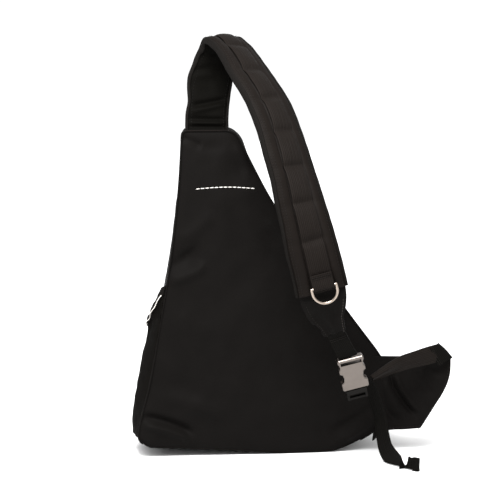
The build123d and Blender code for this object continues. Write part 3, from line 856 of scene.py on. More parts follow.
def strap_pad():
    s = np.linspace(0, STRAP_PATH.s[-1], 300)
    half = STRAP_PATH.half(s)
    u, v = pad_ring(s, half, 61, 41)
    s_grid = np.repeat(s[:, None], u.shape[1], axis=1)
    u = u - pad_edge_wave(s_grid) * smooth((-u / half[:, None] + 0.2) / 1.2)
    rings = STRAP_PATH.at(s_grid, u, v)
    rings += 0.25 * wobble(rings, 9.0, 3.3)[..., None] * STRAP_PATH.outward(s_grid)
    obj = tube_mesh("strap_pad", rings, STRAP)
    obj.data.materials.append(STRAP_LINING)
    columns = u.shape[1]
    for polygon in obj.data.polygons:
        column = min(v % columns for v in polygon.vertices)
        polygon.material_index = 1 if column >= 60 else 0
    blend_at_top(obj)
    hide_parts("strap_foam", "strap_inner_cover", "strap_outer_cover")


def blend_at_top(obj):
    """Bake a strap piece's placement into its mesh."""
    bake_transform(obj)


def strap_binding(side):
    """The folded tape round one long edge of the pad."""
    s = np.linspace(1.0, STRAP_PATH.s[-1] - 0.5, 320)
    half = STRAP_PATH.half(s)
    angles = np.linspace(0, 2 * math.pi, 18, endpoint=False)
    wave = 0.35 * np.sin(s / 3.1) + 0.25 * np.sin(s / 7.7 + side)
    edge = side * half - (pad_edge_wave(s) if side < 0 else 0)
    u = (edge - side * 0.2)[:, None] + np.cos(angles)[None, :] * (1.9 + 0.2 * wave)[:, None]
    v = np.sign(np.sin(angles)) * np.abs(np.sin(angles)) ** 0.7 * (4.3 + 0.3 * wave[:, None])
    rings = STRAP_PATH.at(s[:, None] + 0 * u, u, v)
    name = "left" if side < 0 else "right"
    obj = tube_mesh(f"strap_{name}_binding_tape", rings, GROSGRAIN)
    blend_at_top(obj)
    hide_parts(f"strap_{name}_binding")


def strap_webbing():
    """The webbing along the middle, tacked down in rows so that it swells between them."""
    s = np.linspace(26.0, STRAP_PATH.s[-1] - 1.0, 380)
    across = np.linspace(WEBBING_LEFT, WEBBING_RIGHT, 26)
    s_grid, u = np.meshgrid(s, across, indexing="ij")
    lean = 0.5 * np.sin(s_grid / 31.0)
    half = STRAP_PATH.half(s_grid)
    share = (across - WEBBING_LEFT) / (WEBBING_RIGHT - WEBBING_LEFT)
    ribs = 0.16 * np.cos(share * 2 * math.pi * 7)[None, :]
    edge = -0.5 * (np.abs(2 * share - 1) ** 8)[None, :]
    swell = 1.7 * tack_swell(s_grid) * np.sin(math.pi * share)[None, :] ** 0.8
    lift = PAD_HALF + outer_height(s_grid, np.clip(u, -7, 11), half) + 1.5 + swell + ribs + edge
    lift = lift - 0.5 * tack_dip(s_grid) + 0.25 * ripple(s_grid, u, 8.0, 1.7)
    points = STRAP_PATH.at(s_grid, u + lean, lift)
    obj = sheet_mesh("strap_middle_webbing", points, 1.5, WEBBING, inward=-STRAP_PATH.outward(s_grid))
    blend_at_top(obj)
    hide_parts("strap_centre_webbing")
    return points


def strap_tacks():
    """Zigzag rows of thread across the webbing."""
    spots = []
    columns = np.linspace(WEBBING_LEFT + 1.4, WEBBING_RIGHT - 1.4, 19)
    for s in TACK_PLACES:
        lift = PAD_HALF + 0.55 + outer_height(np.array(s), np.array(0.0), STRAP_PATH.half(s))
        for row in (-0.9, 0.9):
            for i, u in enumerate(columns):
                here = STRAP_PATH.at(s, u + 0.6, 0.0) - STRAP_PATH.at(s, u - 0.6, 0.0)
                tilt = STRAP_PATH.at(s + 0.5, u, 0.0) - STRAP_PATH.at(s - 0.5, u, 0.0)
                spots.append((STRAP_PATH.at(s + row + 0.4 * math.sin(i * 2.4), u, lift),
                              unit(here + tilt * (0.8 if i % 2 else -0.8)), STRAP_PATH.outward(s)))
    obj = stitches("strap_tack_rows", *zip(*spots), 2.2, 0.3, BLACK_THREAD)
    place(obj, "strap", "black_thread", "strap_bartacks")


def strap_seams():
    """Rows of stitches along the pad's edges, two at the left and one at the right."""
    for name, side, offset in (("left_outer", -1, 3.6), ("left_inner", -1, 6.4), ("right", 1, 4.2)):
        s = np.linspace(6, STRAP_PATH.s[-1] - 3, 240)
        half = STRAP_PATH.half(s)
        u = side * (half - offset) - (pad_edge_wave(s) if side < 0 else 0)
        lift = PAD_HALF * (1 - np.abs(u / half) ** 5).clip(0) ** 0.5 + outer_height(s, u, half) + 0.15
        line = STRAP_PATH.at(s, u, lift)
        obj = seam_stitches(f"strap_seam_{name}", line, STRAP_PATH.outward(s), 3.4, BLACK_THREAD,
                            length=2.3, radius=0.34)
        blend_at_top(obj)
    s = np.linspace(2, 96, 60)
    for name, u_share in (("left", -0.80), ("right", 0.80)):
        half = STRAP_PATH.half(s)
        line = STRAP_PATH.at(s, u_share * half, -PAD_HALF * 0.86 - inner_height(s, u_share * half) * 0.9)
        obj = seam_stitches(f"strap_lining_seam_{name}", line, -STRAP_PATH.outward(s), 3.6, DARK_THREAD,
                            length=2.3, radius=0.3)
        blend_at_top(obj)


END_FLAP_STATIONS = [
    (50.5, -106.5, 232, 53, -4), (54, -105, 213, 54, -4), (57, -102, 199, 51, -6), (61.5, -97, 185, 41, -8),
    (66, -94, 176, 32, -8), (72, -89, 164, 25, -10),
]
LOWER_WEBBING_STATIONS = [
    (69, -90.5, 170, 22, -10), (73, -88, 162, 22, -9), (80, -82.5, 149, 22, -6), (87, -77.5, 137, 22, -4),
    (91, -74.5, 130.5, 22, -3),
]


def end_flap():
    """The doubled cloth that gathers the pad's end onto the lower webbing."""
    route = Path(END_FLAP_STATIONS, 60)
    s = np.linspace(0, route.s[-1], 60)
    share = np.linspace(-1, 1, 40)
    half = route.half(s)
    step = 1.8 * np.sign(np.sin(s / 4.3))[:, None] * smooth((s - 38) / 8)[:, None] * (share < -0.9)
    u = share[None, :] * half[:, None] + 0.5 * step
    s_grid = np.repeat(s[:, None], 40, axis=1)
    free = smooth((s_grid - 20) / 10.0)
    pleats = 1.3 * np.cos(share * 7.0)[None, :] * smooth((s_grid - 28) / 20.0)
    lift = 1.7 + free * (0.6 + 1.2 * (1 - np.abs(share) ** 4)[None, :]) + pleats
    lift = lift + 0.8 * free * ripple(s_grid, u, 9.0, 6.6)
    points = route.at(s_grid, u, lift)
    obj = sheet_mesh("strap_end_cloth", points, 3.4, BLACK, inward=-route.outward(s_grid))
    place(obj, "strap", "strap_nylon", "strap_end_flap")
    for name, side in (("left", -0.86), ("right", 0.86)):
        line = points[26:, 20 + int(side * 19)]
        # The right row gets the lighter thread as a painted highlight; the left row keeps the black thread's
        # own colour.
        sew("strap", "black_thread", f"strap_end_seam_{name}", line, route.outward(s[26:]), 3.0,
            PAINTED_LIT_THREAD if side > 0 else BLACK_THREAD, length=2.1, radius=0.36)


def lower_webbing():
    """The webbing that runs from the pad's end and folds round the buckle's top bar."""
    route = Path(LOWER_WEBBING_STATIONS, 70)
    s = np.linspace(0, route.s[-1], 70)
    share = np.linspace(-1, 1, 22)
    s_grid, u = np.meshgrid(s, share * 11.0, indexing="ij")
    ribs = 0.15 * np.cos(share * math.pi * 6)[None, :]
    lift = 1.0 + ribs + 0.5 * ripple(s_grid, u, 13.0, 2.6)
    points = route.at(s_grid, u, lift)
    # Painted with the darker webbing: painted shade low under the pad's end.
    obj = sheet_mesh("lower_webbing_run", points, 1.8, SHADED_WEBBING, inward=-route.outward(s_grid))
    place(obj, "strap", "webbing", "strap_lower_webbing")
    spots = [(route.at(row, across, 1.6), unit(route.at(row, 1.0, 0.0) - route.at(row, -1.0, 0.0)),
              route.outward(row)) for row in (16.0, 18.5) for across in np.linspace(-9.0, 9.0, 14)]
    tack = stitches("lower_webbing_tack", *zip(*spots), 1.5, 0.32, BLACK_THREAD)
    place(tack, "strap", "black_thread")


# ---- D-ring loop -----------------------------------------------------------------------------------------
RING_PIVOT = np.array([53.5334, -116.741, 220.245])
RING_ACROSS = np.array([0.96489, -0.081093, 0.249823])
RING_OUT = np.array([-0.045309, -0.988276, -0.145797])
RING_ALONG = np.array([0.258717, 0.129358, -0.957252])


def ring_loop():
    """A short webbing loop folded round the ring's bar and stitched to the strap."""
    wrap = 2.4
    turn = np.linspace(-math.pi / 2, math.pi / 2, 16)
    side = [(-y, -wrap) for y in np.linspace(15, 0.5, 14)]
    bend = [(wrap * math.cos(a), wrap * math.sin(a)) for a in turn]
    back = [(-y, wrap - 2.6 * smooth(y / 13)) for y in np.linspace(0.5, 16, 16)]
    section = np.array(side + bend + back)
    across = np.linspace(-12.5, 12.5, 22)
    ribs = 0.12 * np.cos(across * 1.7)
    points = (RING_PIVOT + RING_ALONG * section[:, None, 0:1] + RING_OUT * section[:, None, 1:2]
              + RING_ACROSS * across[None, :, None])
    tangent = unit(np.gradient(section, axis=0))
    normal = RING_ALONG * tangent[:, 1:2] - RING_OUT * tangent[:, 0:1]
    points = points + normal[:, None, :] * ribs[None, :, None]
    inward = -normal[:, None, :]
    obj = sheet_mesh("ring_loop_webbing", points - inward * 0.9, 0.95, WEBBING, inward=inward)
    place(obj, "strap", "webbing", "d_ring_loop")
    spots = [(RING_PIVOT + RING_ALONG * row + RING_ACROSS * sideways + RING_OUT * 1.1, RING_ACROSS, RING_OUT)
             for row in (-13.5, -11.0) for sideways in np.linspace(-10.5, 10.5, 13)]
    tack = stitches("ring_loop_tack", *zip(*spots), 1.7, 0.32, BLACK_THREAD)
    place(tack, "strap", "black_thread")


# ---- wing, its band and the tail -------------------------------------------------------------------------
def curve(points, share):
    """Points on a smooth line through the given ones, at shares of its length."""
    fine = spline(points, 200)
    where = np.linspace(0, 1, 200)
    return np.stack([np.interp(share, where, fine[:, k]) for k in range(3)], axis=-1)


WING_CREASES = [
    ((155, 99), (192, 41), 3.4, -6.0, -5.0), ((161, 101), (197, 44), 4.6, 4.4, -5.0),
    ((147, 92), (180, 36), 5.0, 3.0, -5.0), ((142, 78), (168, 34), 4.0, -3.0, -4.0),
    ((182, 104), (214, 66), 6.0, -2.4, -3.0), ((196, 108), (224, 84), 5.0, 2.6, -2.0),
    ((140, 58), (160, 30), 5.0, 2.0, -2.0), ((150, 112), (222, 108), 4.5, 2.6, 1.0),
]


def wing():
    u = np.linspace(0, 1, 90)[None, :] * np.ones((80, 1))
    v = np.linspace(0, 1, 80)[:, None] * np.ones((1, 90))
    left = curve([(137, 4, 12), (140, 3, 45), (143, 3, 85), (134, 3, 117)], v)
    right = curve([(194, -4, 28), (209, -6, 52), (222.5, -9, 76), (228.5, -11, 96), (229.5, -12, 116.5)], v)
    points = left * (1 - u[..., None]) + right * u[..., None]
    low_edge = curve([(137, 4, 12), (152, -1, 25), (177, -3, 27), (194, -4, 28)], u) - (
        left[:1] * (1 - u[..., None]) + right[:1] * u[..., None])
    points = points + low_edge * (1 - v[..., None]) ** 3
    x, z = points[..., 0], points[..., 2]
    fold = creases(x, z, WING_CREASES) + 1.5 * wobble(points, 26.0, 7.2) + 0.6 * wobble(points, 10.0, 1.2)
    points[..., 1] -= fold * smooth(u / 0.12)
    obj = sheet_mesh("wing_cloth", points, 3.6, BLACK, inward=TO_FRONT)
    place(obj, "bag", "black_nylon", "wing_panel")
    for name, edge in (("edge", points[:, -4]), ("foot", points[3])):
        sew("bag", "black_thread", f"wing_{name}_seam", edge, TO_BACK, 3.3, BLACK_THREAD, 2.3, 0.3)


def band():
    """The webbing from the plug's bar to the wing's corner: rolled narrow at the plug, flat at the corner."""
    share = np.linspace(0, 1, 110)
    upper = curve([(121, -53, 104), (138, -48, 113.5), (160, -39, 123.5), (182, -28, 128), (200, -20, 131.5),
                   (213, -14, 133.5)], share)
    lower = curve([(124, -53, 96), (140, -47, 101), (160, -38, 105), (182, -29, 108), (206, -20, 111),
                   (228, -14, 117)], share)
    w = np.linspace(0, 1, 30)
    points = upper[:, None, :] * (1 - w[None, :, None]) + lower[:, None, :] * w[None, :, None]
    along = unit(np.gradient(points, axis=0))
    across = unit(np.gradient(points, axis=1))
    out = unit(np.cross(along, across))
    out = out * np.sign(-out[..., 1:2])
    narrow = (1 - smooth(share / 0.55))[:, None]
    roll = 4.0 * narrow * np.sin(math.pi * w)[None, :] + 2.4 * narrow * np.sin(2 * math.pi * w)[None, :]
    crown = (1.6 * np.sin(math.pi * w)[None, :]) * (1 - narrow)
    ribs = 0.14 * np.cos(w * 2 * math.pi * 7)[None, :]
    soft = 0.9 * wobble(points, 24.0, 3.9)
    points = points + out * (roll + crown + ribs + soft)[..., None]
    obj = sheet_mesh("wing_band_webbing", points, 1.6, WEBBING, inward=-out)
    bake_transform(obj)
    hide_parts("wing_webbing_band")
    patch = curve([(213, -15.5, 134.5), (222, -14, 126.5), (231, -13.5, 116)], np.linspace(0, 1, 26))
    inner = curve([(201, -19.5, 130), (205, -18.5, 119), (212, -17.5, 108)], np.linspace(0, 1, 26))
    w = np.linspace(0, 1, 24)
    corner = inner[:, None, :] * (1 - w[None, :, None]) + patch[:, None, :] * w[None, :, None]
    corner[..., 1] -= 2.2 + 0.8 * np.sin(math.pi * w)[None, :] - 2.0 * (w ** 6)[None, :]
    # The corner's fold uses the darker webbing: painted shade in the fold.
    piece = sheet_mesh("wing_corner_fold", corner, 2.2, SHADED_WEBBING, inward=TO_FRONT)
    place(piece, "bag", "webbing", "wing_band_anchor")
    for n, column in enumerate((2, 5)):
        sew("bag", "black_thread", f"wing_corner_seam_{n + 1}", corner[:, column], TO_BACK, 2.2,
            BLACK_THREAD, 1.7, 0.32)


TAIL_ROUTE = [
    (112, -54, 101), (122, -45, 90), (130, -40, 72), (136, -40, 52), (137.5, -46, 32), (140, -60, 15),
    (148, -80, 6), (159, -97, 3.2), (167, -106, 3.0),
]


def tail():
    """The webbing's loose end: it hangs behind the plug and lies out on the floor."""
    rows = spline(TAIL_ROUTE, 130)
    along = unit(np.gradient(rows, axis=0))
    lean = smooth(np.linspace(-3.2, 1.0, 130))[:, None]
    across = unit(np.array([0.42, -0.88, 0.2]) * (1 - lean) + np.array([0.55, -0.62, -0.30]) * lean)
    across = unit(across - along * (across * along).sum(axis=1, keepdims=True))
    out = unit(np.cross(along, across))
    width = np.linspace(-12, 12, 24)
    cup = 0.8 * (np.abs(width / 12) ** 2)
    ribs = 0.14 * np.cos(width * 1.85)
    lift = (cup + ribs)[None, :] + 0.5 * np.sin(np.linspace(0, 9, 130))[:, None]
    points = rows[:, None, :] + across[:, None, :] * width[None, :, None] + out[:, None, :] * lift[..., None]
    points[..., 2] = np.maximum(points[..., 2], 1.4)
    # The tail uses the darker webbing: painted shade behind the plug and down by the floor.
    obj = sheet_mesh("tail_strip", points, 1.5, SHADED_WEBBING, inward=-out[:, None, :])
    place(obj, "strap", "webbing", "tail_webbing")
    angles = np.linspace(0, 2 * math.pi, 20, endpoint=False)
    run = np.sign(np.cos(angles)) * np.abs(np.cos(angles)) ** 0.5 * 4.5
    rise = np.sign(np.sin(angles)) * np.abs(np.sin(angles)) ** 0.6 * 2.4
    middle = rows[-1] - along[-1] * 2.5 + out[-1] * 0.4
    rings = (middle + across[-1] * np.linspace(-12.6, 12.6, 18)[:, None, None]
             + along[-1] * run[None, :, None] + out[-1] * rise[None, :, None])
    rings[..., 2] = np.maximum(rings[..., 2], 0.4)
    # The hem uses the darker webbing too, as painted shade.
    piece = tube_mesh("tail_end_hem", rings, SHADED_WEBBING)
    place(piece, "strap", "webbing", "tail_hem")
    seam = middle + across[-1] * np.linspace(-11, 11, 12)[:, None] - along[-1] * 2.6 + out[-1] * 2.5
    seam = seam[seam[:, 2] > 2.0]
    row = sew("strap", "black_thread", "tail_hem_seam", seam, out[-1], 2.3, BLACK_THREAD, 1.8, 0.32)


# ---- side pocket -----------------------------------------------------------------------------------------
def wall_x(y, z):
    """The gusset's left face."""
    left = np.interp(z, [20, 235, 320], [-146, -110, -101])
    return left + LEFT_TAPER * y / BASE_DEPTH


def mesh_pocket():
    near, far = 4.0, 86.0
    across = np.linspace(0, 1, 60)[None, :] * np.ones((110, 1))
    up = np.linspace(0, 1, 110)[:, None] * np.ones((1, 60))
    y = near + (far - near) * across
    top = 207.0 - 50.0 * (1 - (1 - across) ** 3)
    z = 20.0 + (top - 20.0) * up
    bow = np.sin(math.pi * across) ** (0.9 - 0.5 * smooth((up - 0.86) / 0.14))
    swell = 4.0 + 9.0 * np.sin(math.pi * np.clip(up * 0.86 + 0.05, 0, 1)) + 4.5 * smooth((up - 0.86) / 0.14)
    flat = np.stack([wall_x(y, z), y, z], axis=-1)
    slack = 1.6 * wobble(flat, 30.0, 2.9) + 0.7 * wobble(flat, 12.0, 6.1)
    pleats = 1.1 * np.cos(across * 30.0) * smooth((up - 0.72) / 0.28)
    x = wall_x(y, z) - 1.2 - bow * (swell + slack + pleats)
    points = settle(np.stack([x, y, z], axis=-1))
    obj = sheet_mesh("side_pocket_mesh", points, 0.9, MESH, inward=np.array([1.0, 0.0, 0.0]))
    place(obj, "bag", "mesh", "mesh_pocket_panel")
    normal = unit(np.cross(np.gradient(points, axis=1), np.gradient(points, axis=0)))
    normal = normal * -np.sign(normal[..., 0:1])
    rim = points[-1] + unit(points[-1] - points[-3]) * 1.4
    rows = [points[-row] + normal[-row] * out
            for row, out in ((7, -0.9), (7, 1.2), (6, 1.9), (4, 1.9), (2, 1.6))]
    rows += [rim + normal[-1] * 0.6, rim - normal[-1] * 0.9]
    rows += [points[-row] - normal[-row] * 1.5 for row in (2, 4, 6)]
    rings = np.stack(rows, axis=1)
    gather = 0.35 * np.sin(np.arange(len(rim)) * 1.9)[:, None]
    rings[..., 0] -= gather * np.array([0, 0, 1, 1, 1, 1, 0, 0, 0, 0])[None, :]
    piece = tube_mesh("side_pocket_elastic", rings, GROSGRAIN)
    place(piece, "bag", "binding", "mesh_pocket_binding")
    line = points[-6] + normal[-6] * 2.3 + np.array([0.0, -0.9, 0.0])
    sew("bag", "white_thread", "side_pocket_stitches", line[1:-1], np.array([-0.8, -0.6, 0.1]), 2.6,
        WHITE_THREAD, 2.6, 0.62)


def carried_over():
    """Hard pieces that keep their CAD shape and only get a finish."""
    finishes = {
        RING_METAL: ["d_ring"], BUCKLE_SILVER: ["buckle_socket"],
        PLASTIC: ["buckle_plug", "left_prong", "right_prong"],
        ZIP_METAL: ["left_slider", "right_slider", "pocket_slider", "left_pull_tab", "right_pull_tab",
                    "pocket_pull_tab", "main_zip_stops"],
        WEBBING: ["strap_anchor_patch"],
    }
    for material, nodes in finishes.items():
        for node in nodes:
            paint_node(node, material)


# ---- front -----------------------------------------------------------------------------------------------
ARCH_RADIUS = 13.0
ZIP_END = 138.0
FLAP_HINGE = 168.0
FLAP_ZIP_START = 16.0
COIL_PITCH = 1.6
ARCH_LINE = [(-101.9, 100.0), (-76.0, 365.0), (-46.0, 365.0), (114.2, 100.0)]


def front_point(x, z, lift=0.0):
    """Points on the sloping front face, and lift millimetres out of it."""
    x, z, lift = np.broadcast_arrays(x, z, lift)
    flat = np.stack([x, BASE_DEPTH - SLOPE * z, z], axis=-1).astype(float)
    return flat + FRONT_NORMAL * np.asarray(lift, float)[..., None]


def arch_offset(distance, count=260):
    """The zip's route moved outwards by a distance, as x and z, from its left foot to its right foot."""
    line = np.array(ARCH_LINE)
    sides = []
    for a, b in zip(line, line[1:]):
        along = unit(b - a)
        out = np.array([-along[1], along[0]])
        sides.append((a + out * distance, b + out * distance))
    corners = [sides[0][0]]
    for (a, b), (c, d) in zip(sides, sides[1:]):
        u, v = b - a, d - c
        share = (v[0] * (c[1] - a[1]) - v[1] * (c[0] - a[0])) / (v[0] * u[1] - v[1] * u[0])
        corners.append(a + u * share)
    corners.append(sides[-1][1])
    radius = ARCH_RADIUS + distance
    points = [corners[0]]
    for before, corner, after in zip(corners, corners[1:], corners[2:]):
        to_before, to_after = unit(before - corner), unit(after - corner)
        cut = radius * math.tan((math.pi - math.acos(np.dot(to_before, to_after))) / 2)
        a = corner + to_before * cut
        b = corner + to_after * cut
        for t in np.linspace(0, 1, 14):
            points.append((1 - t) ** 2 * a + 2 * t * (1 - t) * corner + t * t * b)
    points.append(corners[-1])
    return resample(points, count)


def clipped(line, z_low):
    """The part of an arch line above a height, with its two ends exactly on that height."""
    above = line[line[:, 1] > z_low]
    ends = []
    for inside, outside in ((above[0], line[0]), (above[-1], line[-1])):
        share = (inside[1] - z_low) / (inside[1] - outside[1])
        ends.append(inside + (outside - inside) * share)
    return np.vstack([ends[0], above, ends[1]])


def inside_polygon(points, polygon):
    x, z = points[:, 0:1], points[:, 1:2]
    a, b = polygon, np.roll(polygon, -1, axis=0)
    crosses = ((a[:, 1] > z) != (b[:, 1] > z)) & (
        x < (b[:, 0] - a[:, 0]) * (z - a[:, 1]) / (b[:, 1] - a[:, 1] + 1e-12) + a[:, 0])
    return crosses.sum(axis=1) % 2 == 1


def even(polygon, spacing):
    """A closed outline with points about one spacing apart; its corners stay."""
    points = []
    for a, b in zip(polygon, np.roll(polygon, -1, axis=0)):
        steps = max(int(round(np.linalg.norm(b - a) / spacing)), 1)
        points.extend(a + (b - a) * i / steps for i in range(steps))
    return np.array(points)


def patch_mesh(name, outer, holes, spacing, relief, thick, material):
    """Cloth cut to an outline on the front face, with holes, as an even net of triangles with a thickness."""
    loops = [even(np.asarray(loop, float), spacing) for loop in [outer] + holes]
    low, high = loops[0].min(axis=0), loops[0].max(axis=0)
    inner = []
    for row, z in enumerate(np.arange(low[1], high[1], spacing * 0.866)):
        for x in np.arange(low[0] + (row % 2) * spacing / 2, high[0], spacing):
            inner.append((x, z))
    inner = np.array(inner)
    keep = inside_polygon(inner, loops[0])
    for loop in loops:
        keep &= segment_distance(inner, loop) > 0.6 * spacing
    for loop in loops[1:]:
        keep &= ~inside_polygon(inner, loop)
    points = np.vstack(loops + [inner[keep]])
    edges, start = [], 0
    for loop in loops:
        edges += [(start + i, start + (i + 1) % len(loop)) for i in range(len(loop))]
        start += len(loop)
    made = geometry.delaunay_2d_cdt([Vector(p) for p in points], edges, [], 0, 1e-6)
    flat = np.array([tuple(v) for v in made[0]])
    triangles = np.array(made[2])
    middle = flat[triangles].mean(axis=1)
    wanted = inside_polygon(middle, loops[0])
    for loop in loops[1:]:
        wanted &= ~inside_polygon(middle, loop)
    triangles = triangles[wanted]
    a, b, c = (flat[triangles[:, k]] for k in range(3))
    area = (b[:, 0] - a[:, 0]) * (c[:, 1] - a[:, 1]) - (b[:, 1] - a[:, 1]) * (c[:, 0] - a[:, 0])
    triangles = np.where(area[:, None] > 0, triangles[:, ::-1], triangles)
    top = front_point(flat[:, 0], flat[:, 1], relief(flat[:, 0], flat[:, 1]))
    under = top - FRONT_NORMAL * thick
    faces = [tuple(int(v) for v in t) for t in triangles]
    sides = {(face[i], face[(i + 1) % 3]): True for face in faces for i in range(3)}
    rim = [(i, j) for i, j in sides if (j, i) not in sides]
    return shell_mesh(name, top, under, faces, rim, material, flat)


def front_relief(x, z):
    """Soft swelling and folds of the unstuffed front."""
    edge = edge_distance(x / 0.96, z)
    flat = np.stack([x, 0 * x + 40.0, z], axis=-1)
    line = arch_offset(0.0, 120)
    near = np.min(np.hypot(x[:, None] - line[None, :, 0], z[:, None] - line[None, :, 1]), axis=1)
    quiet = smooth(near / 22.0) * smooth(edge / 16.0)
    out = 4.5 * smooth(edge / 60.0) * quiet + 0.3
    out = out + quiet * (3.0 * wobble(flat, 46.0, 12.4) + 1.2 * wobble(flat, 18.0, 5.9))
    out = out + quiet * creases(x, z, [((-60, 330), (-20, 200), 9.0, -2.6, 6.0),
                                       ((20, 190), (-40, 260), 8.0, 2.4, -5.0)])
    hinge = bump(z - FLAP_HINGE, 3.0) * (near > 6.2)
    return out * smooth(np.abs(z - FLAP_HINGE) / 12.0) - 0.6 * hinge


def front_outline(grow):
    """The bag's outline on the front face, smaller than at the back."""
    line, outward = ring_line(200)
    x = line[:, 0] + np.array([taper(v) for v in line[:, 0]]) + outward[:, 0] * grow
    z = np.clip(line[:, 1] + outward[:, 1] * grow, 1.0, BAG_HEIGHT - 1.0)
    return np.stack([x, z], axis=1)


def front_cloth():
    outer_line = clipped(arch_offset(6.0), ZIP_END)
    inner_line = arch_offset(-6.0)
    lower = clipped(inner_line, ZIP_END)
    hinge = clipped(inner_line, FLAP_HINGE)
    hole = np.vstack([outer_line, lower[-1:], hinge[-1:], hinge[:1], lower[:1]])
    outline = front_outline(-0.8)
    panel = patch_mesh("front_cloth", outline[::-1], [hole], 5.0, front_relief, 1.4, BLACK)
    place(panel, "bag", "black_nylon", "front_panel")
    flap = patch_mesh("front_flap_cloth", hinge, [], 4.5, front_relief, 1.4, BLACK)
    place(flap, "front_flap", "black_nylon", "front_flap_panel")
    for name, side, body in (("outer", 1.0, "bag"), ("inner", -1.0, "front_flap")):
        seam = clipped(arch_offset(side * 8.2), ZIP_END if name == "outer" else FLAP_HINGE + 4)
        sew(body, "black_thread", f"zip_seam_{name}", front_point(seam[:, 0], seam[:, 1], 0.75),
            FRONT_NORMAL, 3.4, BLACK_THREAD, 2.4, 0.32)


def zip_band(name, low_offset, high_offset, z_low, lift, body, node):
    """A strip of zip tape between two offsets of the zip's route."""
    offsets = np.linspace(low_offset, high_offset, 7)
    rows = []
    for offset in offsets:
        line = clipped(arch_offset(offset), z_low)
        rows.append(resample(line, 240))
    grid = np.stack(rows, axis=1)
    points = front_point(grid[..., 0], grid[..., 1], lift)
    if high_offset > low_offset:
        points = points[:, ::-1]
    obj = sheet_mesh(name, points, 0.6, TAPE, -FRONT_NORMAL)
    place(obj, body, "zip_tape", *node)


def coil_row(name, line, side, body, node, lift):
    """One nylon coil: a row of small bent wires, each hooked round the middle of the zip."""
    count = int(np.linalg.norm(np.diff(line, axis=0), axis=1).sum() / COIL_PITCH)
    places = resample(line, count)
    along = unit(np.gradient(places, axis=0))
    across = np.stack([-along[:, 1], along[:, 0]], axis=1) * side
    points, faces = [], []
    steps, sides = 6, 6
    for i in range(count):
        base = len(points)
        for k in range(steps):
            turn = math.pi * k / (steps - 1) - math.pi / 2
            centre = front_point(*(places[i] + across[i] * (0.35 + 2.0 * (k / (steps - 1)))
                                   + along[i] * 0.25 * math.sin(turn)), lift + 0.45 * math.cos(turn))
            flat = np.array([along[i][0], -SLOPE * along[i][1], along[i][1]])
            for j in range(sides):
                angle = 2 * math.pi * j / sides
                points.append(centre + flat * 0.52 * math.cos(angle) + FRONT_NORMAL * 0.42 * math.sin(angle))
        faces += grid_faces(steps, sides, wrap=True, start=base)
        faces.append(tuple(base + j for j in range(sides - 1, -1, -1)))
        faces.append(tuple(base + (steps - 1) * sides + j for j in range(sides)))
    obj = make_mesh(name, points, faces, COIL)
    place(obj, body, "zip_coil", *node)


def main_zip():
    for side, word in ((1, "outer"), (-1, "inner")):
        line = clipped(arch_offset(0.0), ZIP_END + 6 if side > 0 else FLAP_HINGE + FLAP_ZIP_START)
        body = "bag" if side > 0 else "front_flap"
        node = "body" if side > 0 else "flap"
        foot = ZIP_END - 6 if side > 0 else FLAP_HINGE + 4
        zip_band(f"zip_tape_{word}", side * 0.7, side * 11.5, foot, -1.7, body, [f"main_zip_tape_{node}"])
        coil_row(f"zip_coil_{word}", line, side, body, [f"main_zip_coil_{node}"], -0.75)
    offsets = np.linspace(-0.7, -11.5, 7)
    for name, column in (("left", 0), ("right", -1)):
        rows = []
        for offset in offsets:
            whole = arch_offset(offset, 900)
            part = whole[:450] if column == 0 else whole[450:][::-1]
            part = part[(part[:, 1] > ZIP_END - 6) & (part[:, 1] < FLAP_HINGE + 1)]
            rows.append(resample(part, 20))
        grid = np.stack(rows if column == 0 else rows[::-1], axis=1)
        points = front_point(grid[..., 0], grid[..., 1], -2.4)
        foot_tape = sheet_mesh(f"zip_tape_foot_{name}", points, 0.6, TAPE, -FRONT_NORMAL)
        place(foot_tape, "bag", "zip_tape")
        low = clipped(arch_offset(0.0), ZIP_END + 6)
        pick = low[:14] if column == 0 else low[::-1][:14]
        pick = pick[pick[:, 1] < FLAP_HINGE - 2]
        coil_row(f"zip_coil_foot_{name}", pick, 1 if column else -1, "bag", [], -0.75)


# ---- front pocket ----------------------------------------------------------------------------------------
POCKET_LEFT = -78.0
POCKET_RIGHT = 70.0
POCKET_FOOT = 32.0
POCKET_TOP = 139.0
POCKET_ZIP = 147.0


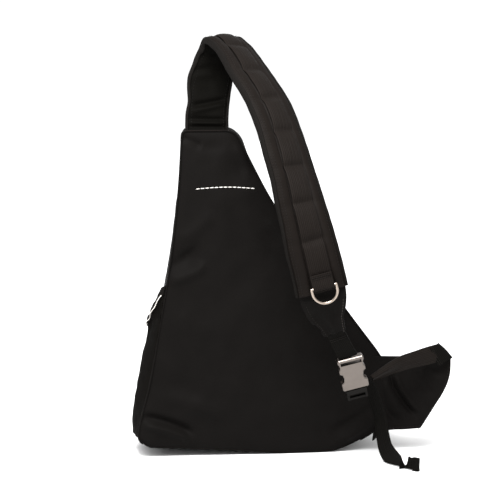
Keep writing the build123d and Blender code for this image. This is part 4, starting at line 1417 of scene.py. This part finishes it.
def front_pocket():
    """A soft shell that stands out of the front, with its mouth's zip along the top."""
    centre = np.array([(POCKET_LEFT + POCKET_RIGHT) / 2, (POCKET_FOOT + POCKET_TOP) / 2])
    half = np.array([(POCKET_RIGHT - POCKET_LEFT) / 2, (POCKET_TOP - POCKET_FOOT) / 2])
    angle = np.linspace(0, 2 * math.pi, 240, endpoint=False)
    power = 0.28
    rim = np.stack([np.sign(np.cos(angle)) * np.abs(np.cos(angle)) ** power * half[0],
                    np.sign(np.sin(angle)) * np.abs(np.sin(angle)) ** power * half[1]], axis=1)
    stations = [(0.0, 0.4), (0.0, 3.0), (0.4, 8.0), (0.7, 13.0), (1.6, 17.5), (4.0, 21.0), (8.0, 23.2)]
    stations += [(s, 23.6 + 2.6 * smooth(s / 50.0)) for s in np.linspace(12.0, 52.5, 22)]
    rings = []
    for inset, height in stations:
        share = 1 - inset / half[1]
        run = rim * share if inset > 6 else rim * (1 - inset / half)[None, :]
        where = centre + run
        flat = np.stack([where[:, 0], np.full(240, height), where[:, 1]], axis=-1)
        soft = smooth(height / 10.0) * (2.2 * wobble(flat, 34.0, 4.9) + 1.0 * wobble(flat, 13.0, 8.3))
        sag = -2.0 * smooth(height / 12.0) * smooth((where[:, 1] - 100.0) / 40.0)
        rings.append(front_point(where[:, 0], where[:, 1], height + soft + sag))
    points = np.stack(rings, axis=0)
    du = np.gradient(points, axis=0)
    dv = np.roll(points, -1, axis=1) - np.roll(points, 1, axis=1)
    inward = unit(np.cross(du, dv))
    inward = np.where((inward * FRONT_NORMAL).sum(axis=-1, keepdims=True) > 0, -inward, inward)
    toward = front_point(centre[0], centre[1], 0.0) - points
    inward = unit(inward + 0.2 * unit(toward))
    rows, columns = points.shape[:2]
    skins = [np.vstack([skin.reshape(-1, 3), skin[-1].mean(axis=0)])
             for skin in (points, points + inward * 1.4)]
    faces = [tuple(reversed(face)) for face in grid_faces(rows, columns, wrap=True)]
    middle = rows * columns
    last = middle - columns
    faces += [(last + (j + 1) % columns, last + j, middle) for j in range(columns)]
    rim = [(j, (j + 1) % columns) for j in range(columns)]
    obj = shell_mesh("front_pocket_cloth", *skins, faces, rim, BLACK, skins[0][:, [0, 2]])
    place(obj, "front_pocket", "black_nylon", "front_pocket_shell")
    seam = rings[6]
    sew("front_pocket", "black_thread", "front_pocket_seam",
        np.vstack([seam, seam[:1]]) + FRONT_NORMAL * 0.2, FRONT_NORMAL, 3.4, BLACK_THREAD, 2.4, 0.32)
    pocket_zip()


def pocket_zip():
    x = np.linspace(POCKET_LEFT + 5, POCKET_RIGHT - 5, 120)
    for word, low, high, body in (("lower", POCKET_TOP + 0.6, POCKET_ZIP - 0.8, "front_pocket"),
                                  ("upper", POCKET_ZIP + 0.8, POCKET_ZIP + 8, "bag")):
        z = np.linspace(low, high, 8)
        grid_x, grid_z = np.meshgrid(x, z, indexing="ij")
        points = front_point(grid_x, grid_z, 1.0)
        obj = sheet_mesh(f"pocket_zip_tape_{word}", points, 0.6, TAPE, inward=-FRONT_NORMAL)
        place(obj, body, "zip_tape", f"front_pocket_zip_tape_{word}")
        line = np.stack([x, np.full(120, POCKET_ZIP)], axis=1)
        coil_row(f"pocket_zip_coil_{word}", line, 1 if word == "upper" else -1, body,
                 [f"front_pocket_zip_coil_{word}"], 1.5)
    z = POCKET_ZIP + 6.4
    sew("bag", "black_thread", "pocket_zip_seam", front_point(x, z, 1.1), FRONT_NORMAL, 3.4, BLACK_THREAD,
        2.4, 0.32)


camera()
studio()
carried_over()
back_panel()
contrast_row()
band_rings = gusset_band()
base_stiffener()
seam_piping(band_rings)
strap_pad()
strap_binding(-1)
strap_binding(1)
strap_webbing()
strap_tacks()
strap_seams()
end_flap()
lower_webbing()
ring_loop()
wing()
band()
tail()
mesh_pocket()
front_cloth()
main_zip()
front_pocket()
